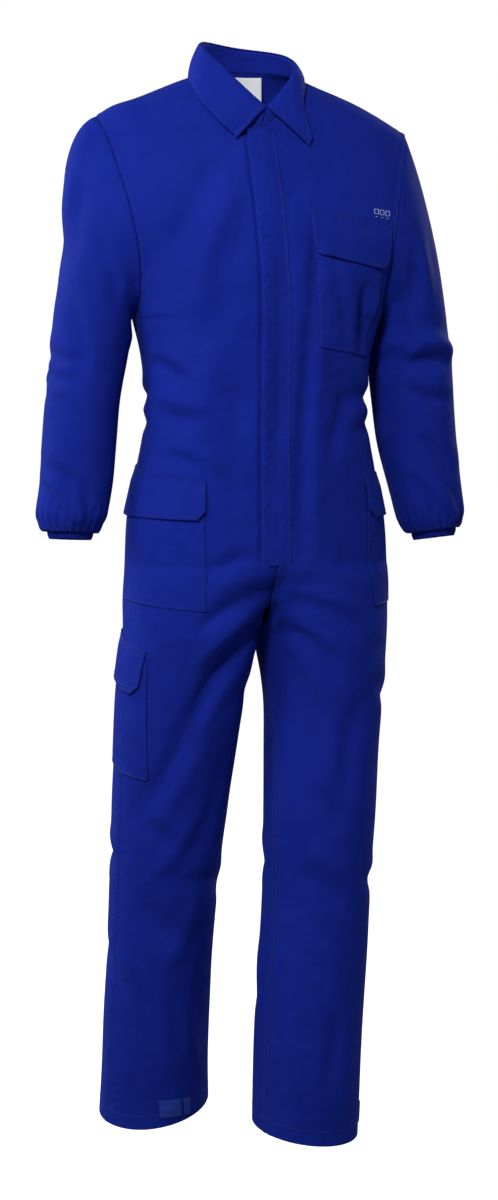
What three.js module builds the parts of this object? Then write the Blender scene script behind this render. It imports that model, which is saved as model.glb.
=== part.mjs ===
// A boiler suit in royal-blue cotton twill, filled out as if worn: one-piece fronts and backs from shoulder
// to hem, set-in sleeves gathered into elastic cuffs, a collar of stand and fall, a placket over the front
// closure, a chest pocket, two hip pockets and a thigh pocket, all with flaps, a label at the neck and
// patches at the hems. Millimetres, +Z up, the front facing -Y, the wearer's left towards +X. Heights in
// the tables are above the floor the wearer stands on. The finished suit is lowered so that the origin is
// between the shoulders.
import * as THREE from "three";

const CLOTH = 1.5; // wall of a body panel, a sleeve or the collar
const PATCH = 1.3; // wall of a piece sewn on top of a panel
const SEAM = 0.3; // space between two walls that meet at a seam
const REST = 0.8; // space under a piece that lies on a panel
const ORIGIN_HEIGHT = 1540; // the wearer's shoulders, where the suit hangs

const CROTCH = 775; // where the four leg seams meet
const RISE = 95; // height of the round stretch of the crotch seam
const UNDERARM = 1215; // bottom of the armhole
const YOKE = 300; // rows above the underarm are counted over this length
const QUARTER = Math.PI / 2;

// Rows of a table become objects with one key for each named column.
function table(columns, rows) {
  return rows.map((row) => Object.fromEntries(columns.map((name, i) => [name, row[i]])));
}

// A column of a table at any height, or at any value of its key: a smooth curve through the rows.
function along(rows, column, value, key = "height") {
  const last = rows.length - 1;
  let i = 0;
  while (i < last - 1 && value > rows[i + 1][key]) i++;
  const slope = (j) => {
    const before = rows[Math.max(j - 1, 0)];
    const after = rows[Math.min(j + 1, last)];
    return (after[column] - before[column]) / (after[key] - before[key]);
  };
  const a = rows[i];
  const b = rows[i + 1];
  const span = b[key] - a[key];
  const t = (value - a[key]) / span;
  const rest = 1 - t;
  return (
    rest * rest * (1 + 2 * t) * a[column] +
    t * t * (3 - 2 * t) * b[column] +
    rest * rest * t * span * slope(i) -
    t * t * rest * span * slope(i + 1)
  );
}

// Sections of the trunk. outer is the half width, front and back are depths from the side seam at y = middle,
// and square under 1 makes the section squarer than an ellipse.
const SECTION = ["height", "outer", "inner", "middle", "front", "back", "square", "turn", "tiltX", "tiltY"];
const TRUNK = [
  [CROTCH, 190, 0, 4, 112, 116, 1.0, 0, 0, 0],
  [820, 190, 0, 3, 114, 122, 0.97, 0, 0, 0],
  [870, 187, 0, 2, 115, 126, 0.94, 0, 0, 0],
  [940, 182, 0, 2, 114, 124, 0.92, 0, 0, 0],
  [1000, 172, 0, 2, 112, 114, 0.9, 0, 0, 0],
  [1060, 162, 0, 2, 112, 104, 0.9, 0, 0, 0],
  [1115, 160, 0, 2, 114, 102, 0.9, 0, 0, 0],
  [1165, 165, 0, 2, 116, 108, 0.9, 0, 0, 0],
  [UNDERARM, 177, 0, 2, 118, 116, 0.9, 0, 0, 0],
];

// Sections of each leg, from the hem to the crotch. turn swings the seams round the leg in degrees, and the
// tilts raise a section towards the outside and towards the back.
const LEGS = {
  left: [
    [82, 131, -16, -50, 75, 75, 1.0, -28, -0.1, 0.1],
    [169, 136, -15, -48, 76, 76, 1.0, -28, -0.04, 0.05],
    [254, 143, -10, -43, 77, 77, 1.0, -28, 0, 0.02],
    [395, 153, 2, -35, 78, 78, 1.0, -26, 0, 0],
    [536, 164, 9, -25, 83, 84, 1.0, -22, 0, 0],
    [620, 171, 13, -16, 89, 92, 1.0, -17, 0, 0],
    [676, 177, 13, -10, 95, 99, 1.0, -11, 0, 0],
    [732, 184, 7, -3, 104, 108, 1.0, -5, 0, 0],
  ],
  right: [
    [84, 205, 47, 104, 79, 79, 1.0, 14, -0.16, 0.17],
    [160, 203, 50, 92, 78, 78, 1.0, 14, -0.08, 0.09],
    [240, 201, 51, 80, 78, 78, 1.0, 14, 0, 0.03],
    [380, 199, 47, 58, 80, 80, 1.0, 14, 0, 0],
    [525, 199, 36, 36, 87, 88, 1.0, 13, 0, 0],
    [584, 198, 30, 27, 92, 93, 1.0, 12, 0, 0],
    [673, 196, 18, 15, 98, 101, 1.0, 8, 0, 0],
    [731, 193, 8, 8, 105, 109, 1.0, 4, 0, 0],
  ],
};

// The body as two halves, each with its sections from hem to underarm.
const HALVES = {
  left: { side: 1, rows: table(SECTION, [...LEGS.left, ...TRUNK]) },
  right: { side: -1, rows: table(SECTION, [...LEGS.right, ...TRUNK]) },
};

// The armhole, from the underarm up the front to the shoulder point and down the back.
const ARMHOLE = table(["x", "y", "z"], [
  [177, 2, UNDERARM],
  [176, -36, 1240],
  [180, -62, 1288],
  [190, -66, 1346],
  [204, -44, 1410],
  [217, -14, 1458],
  [226, 6, 1482],
  [228, 20, 1489],
  [226, 40, 1480],
  [218, 64, 1438],
  [206, 80, 1380],
  [194, 82, 1318],
  [186, 68, 1262],
  [180, 36, 1230],
]).map((p) => new THREE.Vector3(p.x, p.y, p.z));
const armholeCurve = new THREE.CatmullRomCurve3(ARMHOLE, true, "centripetal");
const SHOULDER_PLACE = 7 / ARMHOLE.length; // the shoulder point's share of the armhole curve

// The neckline: low at the front, high round the side and back of the neck.
const NECK = { width: 70, depth: 63, middle: 2, back: 1572, drop: 94 };
const NECK_TOP = { front: NECK.back - NECK.drop, back: NECK.back };
const frontDip = (angle) => (1 - Math.abs(Math.sin(angle / 2)) ** 1.15) ** 1.6; // 1 at the front, 0 at the back
function neckline(angle) {
  return new THREE.Vector3(
    NECK.width * Math.sin(angle),
    NECK.middle - NECK.depth * Math.cos(angle),
    NECK.back - NECK.drop * frontDip(angle),
  );
}

// The centre front and centre back lines above the underarm, up to the neckline.
const CENTRE = table(["height", "front", "back"], [
  [UNDERARM, -116, 118],
  [1300, -113, 126],
  [1390, -97, 124],
  [1480, -62, 106],
  [NECK.back, -40, 66],
]);
const SHOULDER_ROUND = 6; // how far the shoulder seam rises over a straight line
const CENTRE_ROWS = 6; // rows of the yoke that start on the centre line, and the rest start on the neckline

const signedPower = (value, power) => Math.sign(value) * Math.abs(value) ** power;

// Angle of the inner edge of a section: 0 where it closes into a leg, a quarter turn where it ends at the
// centre.
function opening(height) {
  const share = THREE.MathUtils.clamp((height - CROTCH) / RISE, 0, 1);
  return Math.asin(Math.sqrt(share));
}

// A point of the trunk or leg: share runs from the centre seam or inseam (0) to the side seam (1).
function sectionPoint(half, face, height, share) {
  const row = (column) => along(half.rows, column, height);
  const open = opening(height);
  const power = row("square");
  const angle = open + (Math.PI - open) * share;
  const inner = height >= CROTCH ? 0 : row("inner");
  const outer = row("outer");
  const radius = (outer - inner) / (1 + signedPower(Math.cos(open), power));
  const depth = face < 0 ? row("front") : row("back");
  const x = -radius * signedPower(Math.cos(angle), power);
  const y = face * depth * signedPower(Math.sin(angle), power);
  const turn = height >= CROTCH ? 0 : THREE.MathUtils.degToRad(row("turn"));
  const turnedX = x * Math.cos(turn) + y * Math.sin(turn);
  const turnedY = y * Math.cos(turn) - x * Math.sin(turn);
  const lift = row("tiltX") * turnedX + row("tiltY") * turnedY;
  return new THREE.Vector3(outer - radius + turnedX, row("middle") + turnedY, height + lift);
}

// A point above the underarm: rise runs from the underarm (0) to the shoulder seam (1).
const YOKE_STEPS = 10; // rows above the underarm, and points in each half of a sleeve
const yokeTurn = CENTRE_ROWS / YOKE_STEPS; // where the inner end of a row leaves the centre for the neckline
// How far a row turns towards the side by the armhole, in degrees: at the underarm, and from a rise upwards.
const ARMHOLE_TURN = { low: 90, high: 66, by: 0.35 };
function yokePoint(half, face, rise, share) {
  const front = face < 0;
  let inner;
  if (rise <= yokeTurn) {
    const height = UNDERARM + ((front ? NECK_TOP.front : NECK_TOP.back) - UNDERARM) * (rise / yokeTurn);
    inner = new THREE.Vector3(0, along(CENTRE, front ? "front" : "back", height), height);
  } else {
    const round = ((rise - yokeTurn) / (1 - yokeTurn)) * QUARTER;
    inner = neckline(front ? round : Math.PI - round);
  }
  const outer = armholeCurve.getPoint(front ? rise * SHOULDER_PLACE : 1 - rise * (1 - SHOULDER_PLACE));
  const risen = THREE.MathUtils.smoothstep(rise, 0, ARMHOLE_TURN.by);
  const end = THREE.MathUtils.degToRad(THREE.MathUtils.lerp(ARMHOLE_TURN.low, ARMHOLE_TURN.high, risen));
  const power = THREE.MathUtils.lerp(along(half.rows, "square", UNDERARM), 1, risen);
  const across = (Math.sin(share * end) / Math.sin(end)) ** power;
  const deep = (Math.max(0, Math.cos(share * end) - Math.cos(end)) / (1 - Math.cos(end))) ** power;
  return new THREE.Vector3(
    inner.x + (outer.x - inner.x) * across,
    outer.y + (inner.y - outer.y) * deep,
    inner.z + (outer.z - inner.z) * across + SHOULDER_ROUND * rise * rise * Math.sin(across * Math.PI),
  );
}

// The wearer stands a little askew: the neck leans to the right, the left shoulder hangs lower and the right
// shoulder's end stands higher.
const LEAN = { neck: -9, shoulder: 0.018, halfWidth: 228 };
const PAD = { x: -205, z: 1488, rise: 9, halfX: 32, halfZ: 45 };
function stand(point) {
  const t = THREE.MathUtils.smoothstep(point.z, UNDERARM, NECK_TOP.front);
  const middle = Math.max(0, 1 - Math.abs(point.x) / LEAN.halfWidth);
  const pad = PAD.rise * Math.exp(-(((point.x - PAD.x) / PAD.halfX) ** 2) - ((point.z - PAD.z) / PAD.halfZ) ** 2);
  const z = point.z - LEAN.shoulder * point.x * t + pad;
  return new THREE.Vector3(point.x + LEAN.neck * t * middle, point.y, z);
}

// The plain form of the body at a level: below the underarm a level is a height, above it counts along the
// yoke.
function bodyPoint(half, face, level, share) {
  const point =
    level <= UNDERARM
      ? sectionPoint(half, face, level, share)
      : yokePoint(half, face, (level - UNDERARM) / YOKE, share);
  point.x *= half.side;
  return stand(point);
}

// The main folds, as seen from an azimuth round the suit (0 is the front, -90 the wearer's right): each runs
// between two places given as (across, height), and swells or sinks by depth over a half width.
const VIEW = -15; // the side they are seen from at the front
const REAR = 180;
const FOLDS = table(["on", "view", "x1", "z1", "x2", "z2", "width", "depth"], [
  // chest and waist
  ["body", VIEW, 80, 1290, 66, 880, 15, -5],
  ["body", VIEW, -60, 1430, -135, 1300, 26, -5],
  ["body", VIEW, -40, 1380, -80, 1210, 24, 4],
  ["body", VIEW, 150, 1250, 152, 1170, 14, -6],
  ["body", VIEW, -150, 1150, -100, 1118, 16, -6],
  ["body", VIEW, -140, 1105, -80, 1095, 15, 5],
  ["body", VIEW, -130, 1078, -62, 1070, 15, -5],
  // crotch and thighs
  ["body", VIEW, 0, 888, -75, 850, 15, -4],
  ["body", VIEW, 30, 842, -80, 786, 14, -7],
  ["body", VIEW, 5, 805, -80, 742, 15, 6],
  ["body", VIEW, 22, 800, -85, 672, 15, -8],
  ["body", VIEW, -85, 672, -170, 530, 20, -5],
  ["body", VIEW, -40, 640, -95, 470, 20, 5],
  ["body", VIEW, 40, 825, 140, 785, 14, -7],
  ["body", VIEW, 45, 800, 130, 745, 15, 5],
  ["body", VIEW, 42, 780, 120, 700, 16, -6],
  // shins
  ["body", VIEW, -160, 400, -95, 340, 24, -5],
  ["body", VIEW, 55, 450, 125, 400, 24, -5],
  // back
  ["body", REAR, -80, 1125, 60, 1118, 18, -6],
  ["body", REAR, -90, 1082, 80, 1088, 16, 6],
  ["body", REAR, -30, 790, -110, 720, 16, -7],
  ["body", REAR, 30, 790, 105, 730, 16, -7],
  ["body", REAR, -110, 470, -40, 430, 20, -6],
  ["body", REAR, 80, 460, 170, 430, 20, -6],
  ["body", REAR, 105, 1400, 70, 1220, 26, 5],
  ["body", REAR, -105, 1390, -75, 1220, 26, 5],
  // sleeves
  ["sleeve", VIEW, -205, 1385, -170, 1275, 15, -7],
  ["sleeve", VIEW, -250, 1420, -265, 1320, 14, 4],
  ["sleeve", VIEW, -285, 1010, -225, 950, 15, -5],
  ["sleeve", VIEW, 205, 1150, 262, 1152, 13, -6],
  ["sleeve", VIEW, 225, 1190, 285, 1168, 15, 5],
  ["sleeve", VIEW, 215, 1330, 222, 1230, 14, -5],
  ["sleeve", REAR, -295, 1150, -230, 1165, 14, -6],
  ["sleeve", REAR, 230, 1165, 295, 1150, 14, -6],
]);

// How far the folds move a point of the cloth that faces along normal.
const FOLD_EDGE = 0.25; // a fold fades out where the cloth turns this far from the view
const END_TAPER = 0.5; // share of its depth that a fold loses at its ends
function foldDepth(on, point, normal) {
  let sum = 0;
  for (const fold of FOLDS) {
    if (fold.on !== on) continue;
    const view = THREE.MathUtils.degToRad(fold.view);
    const facing = normal.x * Math.sin(view) - normal.y * Math.cos(view);
    const shown = THREE.MathUtils.smoothstep(facing, 0, FOLD_EDGE);
    if (shown === 0) continue;
    const across = point.x * Math.cos(view) + point.y * Math.sin(view);
    const dx = fold.x2 - fold.x1;
    const dz = fold.z2 - fold.z1;
    const px = across - fold.x1;
    const pz = point.z - fold.z1;
    const t = THREE.MathUtils.clamp((px * dx + pz * dz) / (dx * dx + dz * dz), 0, 1);
    const away = Math.hypot(px - t * dx, pz - t * dz) / fold.width;
    const taper = 1 - END_TAPER * Math.abs(2 * t - 1) ** 3;
    sum += fold.depth * shown * taper * Math.exp(-away * away);
  }
  return sum;
}

// Nets: a grid of points, rows first. Shares are equal steps from 0 to 1.
const makeNet = (rows, columns, pointAt) => rows.map((row) => columns.map((column) => pointAt(row, column)));
const shares = (count) => Array.from({ length: count + 1 }, (_, i) => i / count);

// Adds each face's normal to the net's points. Points that coincide across a seam share one sum.
const SAME = 0.02;
const sharedKey = (p) => [p.x, p.y, p.z].map((v) => Math.round(v / SAME)).join(",");
function addNormals(net, sums, outward) {
  for (let r = 0; r + 1 < net.length; r++)
    for (let c = 0; c + 1 < net[r].length; c++) {
      const [a, b] = [net[r][c], net[r][c + 1]];
      const [d, e] = [net[r + 1][c], net[r + 1][c + 1]];
      const cross = new THREE.Vector3().subVectors(e, a).cross(new THREE.Vector3().subVectors(d, b));
      cross.normalize().multiplyScalar(outward);
      for (const p of [a, b, d, e]) {
        const key = sharedKey(p);
        if (!sums.has(key)) sums.set(key, new THREE.Vector3());
        sums.get(key).add(cross);
      }
    }
}
const readNormals = (net, sums) => net.map((row) => row.map((p) => sums.get(sharedKey(p)).clone().normalize()));

// A copy of a net whose edge row or column stands back from its seam, across the seam and along the cloth.
function pullBack(net, normals, edge, distance, outward) {
  const copy = net.map((row) => row.map((p) => p.clone()));
  const last = net.length - 1;
  const end = net[0].length - 1;
  const first = edge.startsWith("first");
  const shift = (r, c, before, after, sign) => {
    const tangent = new THREE.Vector3().subVectors(after, before).normalize();
    const inward = new THREE.Vector3().crossVectors(normals[r][c], tangent).normalize();
    copy[r][c].addScaledVector(inward, sign * outward * distance);
  };
  if (edge.endsWith("column")) {
    const c = first ? 0 : end;
    for (let r = 0; r <= last; r++)
      shift(r, c, net[Math.max(r - 1, 0)][c], net[Math.min(r + 1, last)][c], first ? -1 : 1);
  } else {
    const r = first ? 0 : last;
    for (let c = 0; c <= end; c++)
      shift(r, c, net[r][Math.max(c - 1, 0)], net[r][Math.min(c + 1, end)], first ? 1 : -1);
  }
  return copy;
}

// A closed wall: the outer points, the inner points a thickness behind them, and the edges between. loop
// joins the last column to the first, outward is 1 where rows and columns already face out, lift moves a
// row outwards, and crossed says in which columns the faces are cut along their other diagonal.
function wall(net, normals, thickness, options = {}) {
  const { loop = false, outward = 1, lift = () => 0, crossed = () => false } = options;
  const rows = net.length;
  const columns = net[0].length;
  const positions = [];
  for (const depth of [0, thickness])
    net.forEach((row, r) =>
      row.forEach((p, c) => positions.push(...p.clone().addScaledVector(normals[r][c], lift(r) - depth).toArray())),
    );
  const outer = (r, c) => r * columns + (c % columns);
  const inner = (r, c) => rows * columns + outer(r, c);
  const faces = [];
  const triangle = (a, b, c) => (outward > 0 ? faces.push(a, b, c) : faces.push(a, c, b));
  const quad = (a, b, c, d, other = false) => {
    triangle(a, b, other ? d : c);
    if (other) triangle(b, c, d);
    else triangle(a, c, d);
  };
  const spans = loop ? columns : columns - 1;
  for (let r = 0; r + 1 < rows; r++)
    for (let c = 0; c < spans; c++) {
      quad(outer(r, c), outer(r, c + 1), outer(r + 1, c + 1), outer(r + 1, c), crossed(c));
      quad(inner(r, c), inner(r + 1, c), inner(r + 1, c + 1), inner(r, c + 1), crossed(c));
    }
  const top = rows - 1;
  const end = columns - 1;
  for (let c = 0; c < spans; c++) {
    quad(outer(0, c), inner(0, c), inner(0, c + 1), outer(0, c + 1));
    quad(outer(top, c), outer(top, c + 1), inner(top, c + 1), inner(top, c));
  }
  if (!loop)
    for (let r = 0; r + 1 < rows; r++) {
      quad(outer(r, 0), outer(r + 1, 0), inner(r + 1, 0), inner(r, 0));
      quad(outer(r, end), inner(r, end), inner(r + 1, end), outer(r + 1, end));
    }
  const geometry = new THREE.BufferGeometry();
  geometry.setAttribute("position", new THREE.Float32BufferAttribute(positions, 3));
  geometry.setIndex(faces);
  geometry.computeVertexNormals();
  return geometry;
}

const suit = new THREE.Group();
const twill = new THREE.MeshStandardMaterial({ color: 0x1a2a86, roughness: 0.85, metalness: 0 });
const whiteSatin = new THREE.MeshStandardMaterial({ color: 0xe8ecf0, roughness: 0.6, metalness: 0 });
const patchBlue = new THREE.MeshStandardMaterial({ color: 0x2a3f92, roughness: 0.6, metalness: 0 });
function addPiece(name, geometry, material = twill) {
  const mesh = new THREE.Mesh(geometry, material);
  mesh.name = name;
  mesh.position.z = -ORIGIN_HEIGHT;
  suit.add(mesh);
}

// Body panels. Front and back have the same rows, so that the side seams meet point for point.
const LEG_ROWS = [125, 180, 235, 290, 345, 395, 440, 485, 530, 570, 610, 645, 678, 705, 728, 748, 764];
const CROTCH_ROWS = [CROTCH, 782, 792, 806, 824, 845, CROTCH + RISE];
const TRUNK_ROWS = [895, 925, 955, 985, 1015, 1045, 1075, 1105, 1135, 1165, 1190, UNDERARM];
const YOKE_ROWS = shares(YOKE_STEPS).slice(1).map((rise) => UNDERARM + rise * YOKE);
const PANEL_COLUMNS = shares(11);
const FACES = { front: -1, back: 1 };
const nets = {};
for (const [side, half] of Object.entries(HALVES)) {
  half.levels = [half.rows[0].height, ...LEG_ROWS, ...CROTCH_ROWS, ...TRUNK_ROWS, ...YOKE_ROWS];
  for (const [face, sign] of Object.entries(FACES))
    nets[`${face}_${side}`] = makeNet(half.levels, PANEL_COLUMNS, (level, share) =>
      bodyPoint(half, sign, level, share),
    );
}

// Sleeve sections below the cap, from the wrist up: the middle of each, its half width and half depth, and
// how much the ring rises towards the outside and the back. The first rows turn in over the cuff.
const ARM = ["height", "x", "y", "wide", "deep", "tipX", "tipY"];
const SLEEVES = {
  left: table(ARM, [
    [918, 262, -13, 33, 32, 0.1, -0.1],
    [912, 262, -13, 36, 34, 0.1, -0.1],
    [915, 261, -12, 41, 39, 0.1, -0.1],
    [926, 259, -10, 46, 46, 0.08, -0.08],
    [942, 257, -8, 50, 51, 0.06, -0.06],
    [985, 250, -2, 53, 56, 0.03, -0.03],
    [1042, 242, 6, 58, 60, 0, 0],
    [1100, 238, 11, 60, 62, 0, 0.02],
    [1150, 235, 14, 61, 64, 0, 0.05],
    [1188, 231, 15, 60, 66, 0.05, 0.05],
  ]),
  right: table(ARM, [
    [924, 270, -13, 33, 32, 0.05, -0.08],
    [917, 270, -13, 36, 34, 0.05, -0.08],
    [920, 270, -12, 40.5, 38, 0.05, -0.08],
    [929, 269, -10, 44, 45, 0.04, -0.06],
    [944, 267, -8, 49, 51, 0.04, -0.05],
    [985, 260, -2, 51, 55, 0.03, -0.03],
    [1042, 254, 6, 52, 58, 0, 0],
    [1100, 248, 11, 52, 60, 0, 0.02],
    [1150, 241, 14, 54, 63, 0, 0.05],
    [1188, 235, 15, 56, 66, 0.05, 0.05],
  ]),
};

// A point of a sleeve section, at an angle from the underarm through the front.
function sleeveRing(row, angle) {
  const x = -row.wide * Math.cos(angle);
  const y = -row.deep * Math.sin(angle);
  return new THREE.Vector3(row.x + x, row.y + y, row.height + row.tipX * x + row.tipY * y);
}

// The cap: out of the armhole, level at the underarm and more or less steep at the shoulder, then down the
// arm.
const CAP_STEPS = [0, 0.08, 0.2, 0.35, 0.52, 0.68, 0.84];
const CAP = {
  left: { out: 0.35, drop: 0.95 },
  right: { out: 0.62, drop: 0.12 },
};
const SINK = { left: 0, right: 14, height: 1325, half: 66 }; // below the cap's head the cloth hangs in by so much
const UNDER = { out: 1, drop: 0.3 };
const ARRIVE = 0.9; // how far the arm's own direction reaches up into the cap
function capPoint(side, place, t) {
  const [next, top] = SLEEVES[side].slice(-2);
  const angle = armAngle(place);
  const over = (1 - Math.cos(angle)) / 2;
  const from = armholeCurve.getPoint(place);
  const to = sleeveRing(top, angle);
  const reach = from.distanceTo(to);
  const out = THREE.MathUtils.lerp(UNDER.out, CAP[side].out, over);
  const drop = THREE.MathUtils.lerp(UNDER.drop, CAP[side].drop, over);
  const leave = new THREE.Vector3(out, 0, -drop).multiplyScalar(reach);
  const arrive = sleeveRing(next, angle).sub(to).setLength(reach * ARRIVE);
  const rest = 1 - t;
  const point = new THREE.Vector3()
    .addScaledVector(from, rest * rest * (1 + 2 * t))
    .addScaledVector(to, t * t * (3 - 2 * t))
    .addScaledVector(leave, rest * rest * t)
    .addScaledVector(arrive, -t * t * rest);
  const near = Math.exp(-(((point.z - SINK.height) / SINK.half) ** 2));
  point.x -= SINK[side] * over ** 4 * near * THREE.MathUtils.smoothstep(t, 0, 0.5);
  return point;
}

// The angle round a sleeve section for a place on the armhole: 0 at the underarm and half a turn at the
// shoulder.
function armAngle(place) {
  return place < SHOULDER_PLACE
    ? (place / SHOULDER_PLACE) * Math.PI
    : Math.PI * (1 + (place - SHOULDER_PLACE) / (1 - SHOULDER_PLACE));
}
const ARM_PLACES = [
  ...shares(YOKE_STEPS).map((t) => t * SHOULDER_PLACE),
  ...shares(YOKE_STEPS).slice(1, -1).map((t) => SHOULDER_PLACE + t * (1 - SHOULDER_PLACE)),
];
const LONG_STEP = 35; // sleeve sections further apart than this get a row halfway
for (const [side, half] of Object.entries(HALVES)) {
  const rows = [...SLEEVES[side]].reverse();
  const place = (p) => stand(new THREE.Vector3(p.x * half.side, p.y, p.z));
  const net = CAP_STEPS.map((t) => ARM_PLACES.map((where) => place(capPoint(side, where, t))));
  rows.forEach((row, i) => {
    const ring = (r) => ARM_PLACES.map((where) => sleeveRing(r, armAngle(where)));
    net.push(ring(row).map(place));
    const next = rows[i + 1];
    if (next && row.height - next.height > LONG_STEP) {
      const below = ring(next);
      net.push(ring(row).map((p, c) => place(p.lerp(below[c], 0.5))));
    }
  });
  nets[`sleeve_${side}`] = net;
}

// Which way each net faces: rows run upwards on the body and down the arm.
const FACING = {
  front_left: 1,
  back_left: -1,
  front_right: -1,
  back_right: 1,
  sleeve_left: -1,
  sleeve_right: 1,
};
const isSleeve = (name) => name.startsWith("sleeve");
const closeLoop = (net) => net.map((row) => [...row, row[0]]);
function allNormals() {
  const sums = new Map();
  for (const [name, net] of Object.entries(nets))
    addNormals(isSleeve(name) ? closeLoop(net) : net, sums, FACING[name]);
  return Object.fromEntries(Object.entries(nets).map(([name, net]) => [name, readNormals(net, sums)]));
}

// The folds move every net along its normals. The armhole moves with the body, and a sleeve's own folds start
// a few rows down.
const SLEEVE_FOLDS_FROM = 2;
const plain = allNormals();
for (const [name, net] of Object.entries(nets)) {
  const foldsOn = (r) => (isSleeve(name) && r >= SLEEVE_FOLDS_FROM ? "sleeve" : "body");
  const depths = net.map((row, r) => row.map((p, c) => foldDepth(foldsOn(r), p, plain[name][r][c])));
  net.forEach((row, r) => row.forEach((p, c) => p.addScaledVector(plain[name][r][c], depths[r][c])));
}

const normals = allNormals();
for (const name of Object.keys(nets)) {
  const outward = FACING[name];
  let net = isSleeve(name) ? closeLoop(nets[name]) : nets[name];
  const facing = isSleeve(name) ? closeLoop(normals[name]) : normals[name];
  const edges = isSleeve(name) ? ["first row"] : ["last row", "first column", "last column"];
  const distance = isSleeve(name) ? SEAM : SEAM / 2;
  for (const edge of edges) net = pullBack(net, facing, edge, distance, outward);
  if (isSleeve(name)) net = net.map((row) => row.slice(0, -1));
  addPiece(name, wall(net, normals[name], CLOTH, { loop: isSleeve(name), outward }));
}

// Places on the cloth are given by row and column: rows as in a panel's net, columns from the centre front
// (0) round the left half (positive) or the right half (negative), over the side seam, to the centre back.
const LAST_COLUMN = PANEL_COLUMNS.length - 1;
const CENTRE_BACK = 2 * LAST_COLUMN;
const SIGN = { left: 1, right: -1 };
function cell(column, side) {
  const round = Math.abs(column);
  const half = column < 0 ? "right" : column > 0 ? "left" : side;
  return round <= LAST_COLUMN
    ? { name: `front_${half}`, column: round }
    : { name: `back_${half}`, column: CENTRE_BACK - round };
}

// The point and normal at a place, exactly on the panel's flat faces.
function onCloth(row, column, side) {
  const { name, column: own } = cell(column, side);
  const r = Math.min(Math.floor(row), nets[name].length - 2);
  const c = Math.min(Math.floor(own), LAST_COLUMN - 1);
  const up = row - r;
  const across = own - c;
  const below = across > up;
  const blend = (grid) =>
    new THREE.Vector3()
      .addScaledVector(grid[r][c], below ? 1 - across : 1 - up)
      .addScaledVector(below ? grid[r][c + 1] : grid[r + 1][c], Math.abs(across - up))
      .addScaledVector(grid[r + 1][c + 1], Math.min(across, up));
  return { point: blend(nets[name]), normal: blend(normals[name]).normalize() };
}

// The column reached by walking along a row from a whole column, way being 1 or -1 columns a step.
function walk(side, row, start, way, distance) {
  let column = start;
  let left = distance;
  for (;;) {
    const here = onCloth(row, column, side).point;
    const step = here.distanceTo(onCloth(row, column + way, side).point);
    if (left <= step) return column + (way * left) / step;
    left -= step;
    column += way;
  }
}

// The row and column of a place at a height and at a distance along the cloth from the centre front.
const HALVINGS = 20; // of the rows, to find the height
function locate(side, height, distance) {
  const columnAt = (row) => walk(side, row, 0, Math.sign(distance) * SIGN[side], Math.abs(distance));
  let low = 0;
  let high = HALVES[side].levels.length - 1;
  for (let tries = 0; tries < HALVINGS; tries++) {
    const row = (low + high) / 2;
    if (onCloth(row, columnAt(row), side).point.z < height) low = row;
    else high = row;
  }
  return { row: low, column: columnAt(low) };
}

// The whole numbers between two limits, and a list of them moved as little as it takes to stand clear of
// other limits and of each other.
const CLEAR = 0.06; // least share of a panel's row or column between two of a piece's
function wholeBetween(low, high) {
  const list = [];
  for (let i = Math.floor(low + CLEAR) + 1; i < high - CLEAR; i++) list.push(i);
  return list;
}
const keptBetween = (list, low, high) =>
  list.map((v, i) => THREE.MathUtils.clamp(v, low + CLEAR * (i + 1), high - CLEAR * (list.length - i)));

// A piece that lies on the cloth. Its corners are heights and distances along the cloth from the centre
// front: bottom and top at its from and to edges. It has a row and a column wherever the panel under it has
// one, so that its faces run parallel to the panel's. The lower corners are cut off. lift is how far its
// outer side stands off the cloth, from its bottom (0) to its top (1).
function layOn(name, side, edges, lift, material = twill) {
  const corner = edges.corner ?? 12;
  const inwards = Math.sign(edges.to - edges.from);
  const ends = [["from", inwards], ["to", -inwards]].map(([at, way]) => {
    const [bottom, top] = edges.heights[at];
    const low = edges.low?.[at] ?? edges[at];
    return {
      bottom: locate(side, bottom, low + corner * way),
      above: locate(side, bottom + corner, low),
      top: locate(side, top, edges[at]),
    };
  });
  ends.sort((a, b) => a.top.column - b.top.column);
  const [first, last] = ends;
  const rows = wholeBetween(Math.min(first.above.row, last.above.row), Math.max(first.top.row, last.top.row));
  const rowsOf = ({ bottom, above, top }) => [
    bottom.row,
    above.row,
    ...keptBetween(rows, above.row, top.row),
    top.row,
  ];
  const columnAt = ({ bottom, above, top }, row) => {
    const [p, q] = row < above.row ? [bottom, above] : [above, top];
    return THREE.MathUtils.mapLinear(row, p.row, q.row, p.column, q.column);
  };
  const reached = ends.flatMap((end) => Object.values(end).map((place) => place.column));
  const columns = wholeBetween(Math.min(...reached), Math.max(...reached));
  const lastRows = rowsOf(last);
  const places = rowsOf(first).map((row, i) => {
    const a = columnAt(first, row);
    const b = columnAt(last, lastRows[i]);
    return [a, ...keptBetween(columns, a, b), b].map((column) =>
      onCloth(THREE.MathUtils.mapLinear(column, a, b, row, lastRows[i]), column, side),
    );
  });
  const net = places.map((line) => line.map((place) => place.point));
  const facing = places.map((line) => line.map((place) => place.normal));
  const lines = [first.top.column, ...columns, last.top.column];
  const crossed = (c) => {
    const middle = (lines[c] + lines[c + 1]) / 2;
    return Math.abs(middle) > LAST_COLUMN !== middle < 0;
  };
  const total = net.length - 1;
  addPiece(name, wall(net, facing, PATCH, { lift: (r) => lift(r / total), crossed }), material);
}

const LAID = REST + PATCH; // the outer side of a piece that lies on the cloth
const lying = () => LAID;
const FLAP = { gap: 0.7, loose: 1.5, hinge: 0.7 }; // space over the pocket, more at the free edge, and its hinge
const overPocket = (t) =>
  LAID + (PATCH + FLAP.gap + FLAP.loose * (1 - t)) * (1 - THREE.MathUtils.smoothstep(t, FLAP.hinge, 1));

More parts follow.
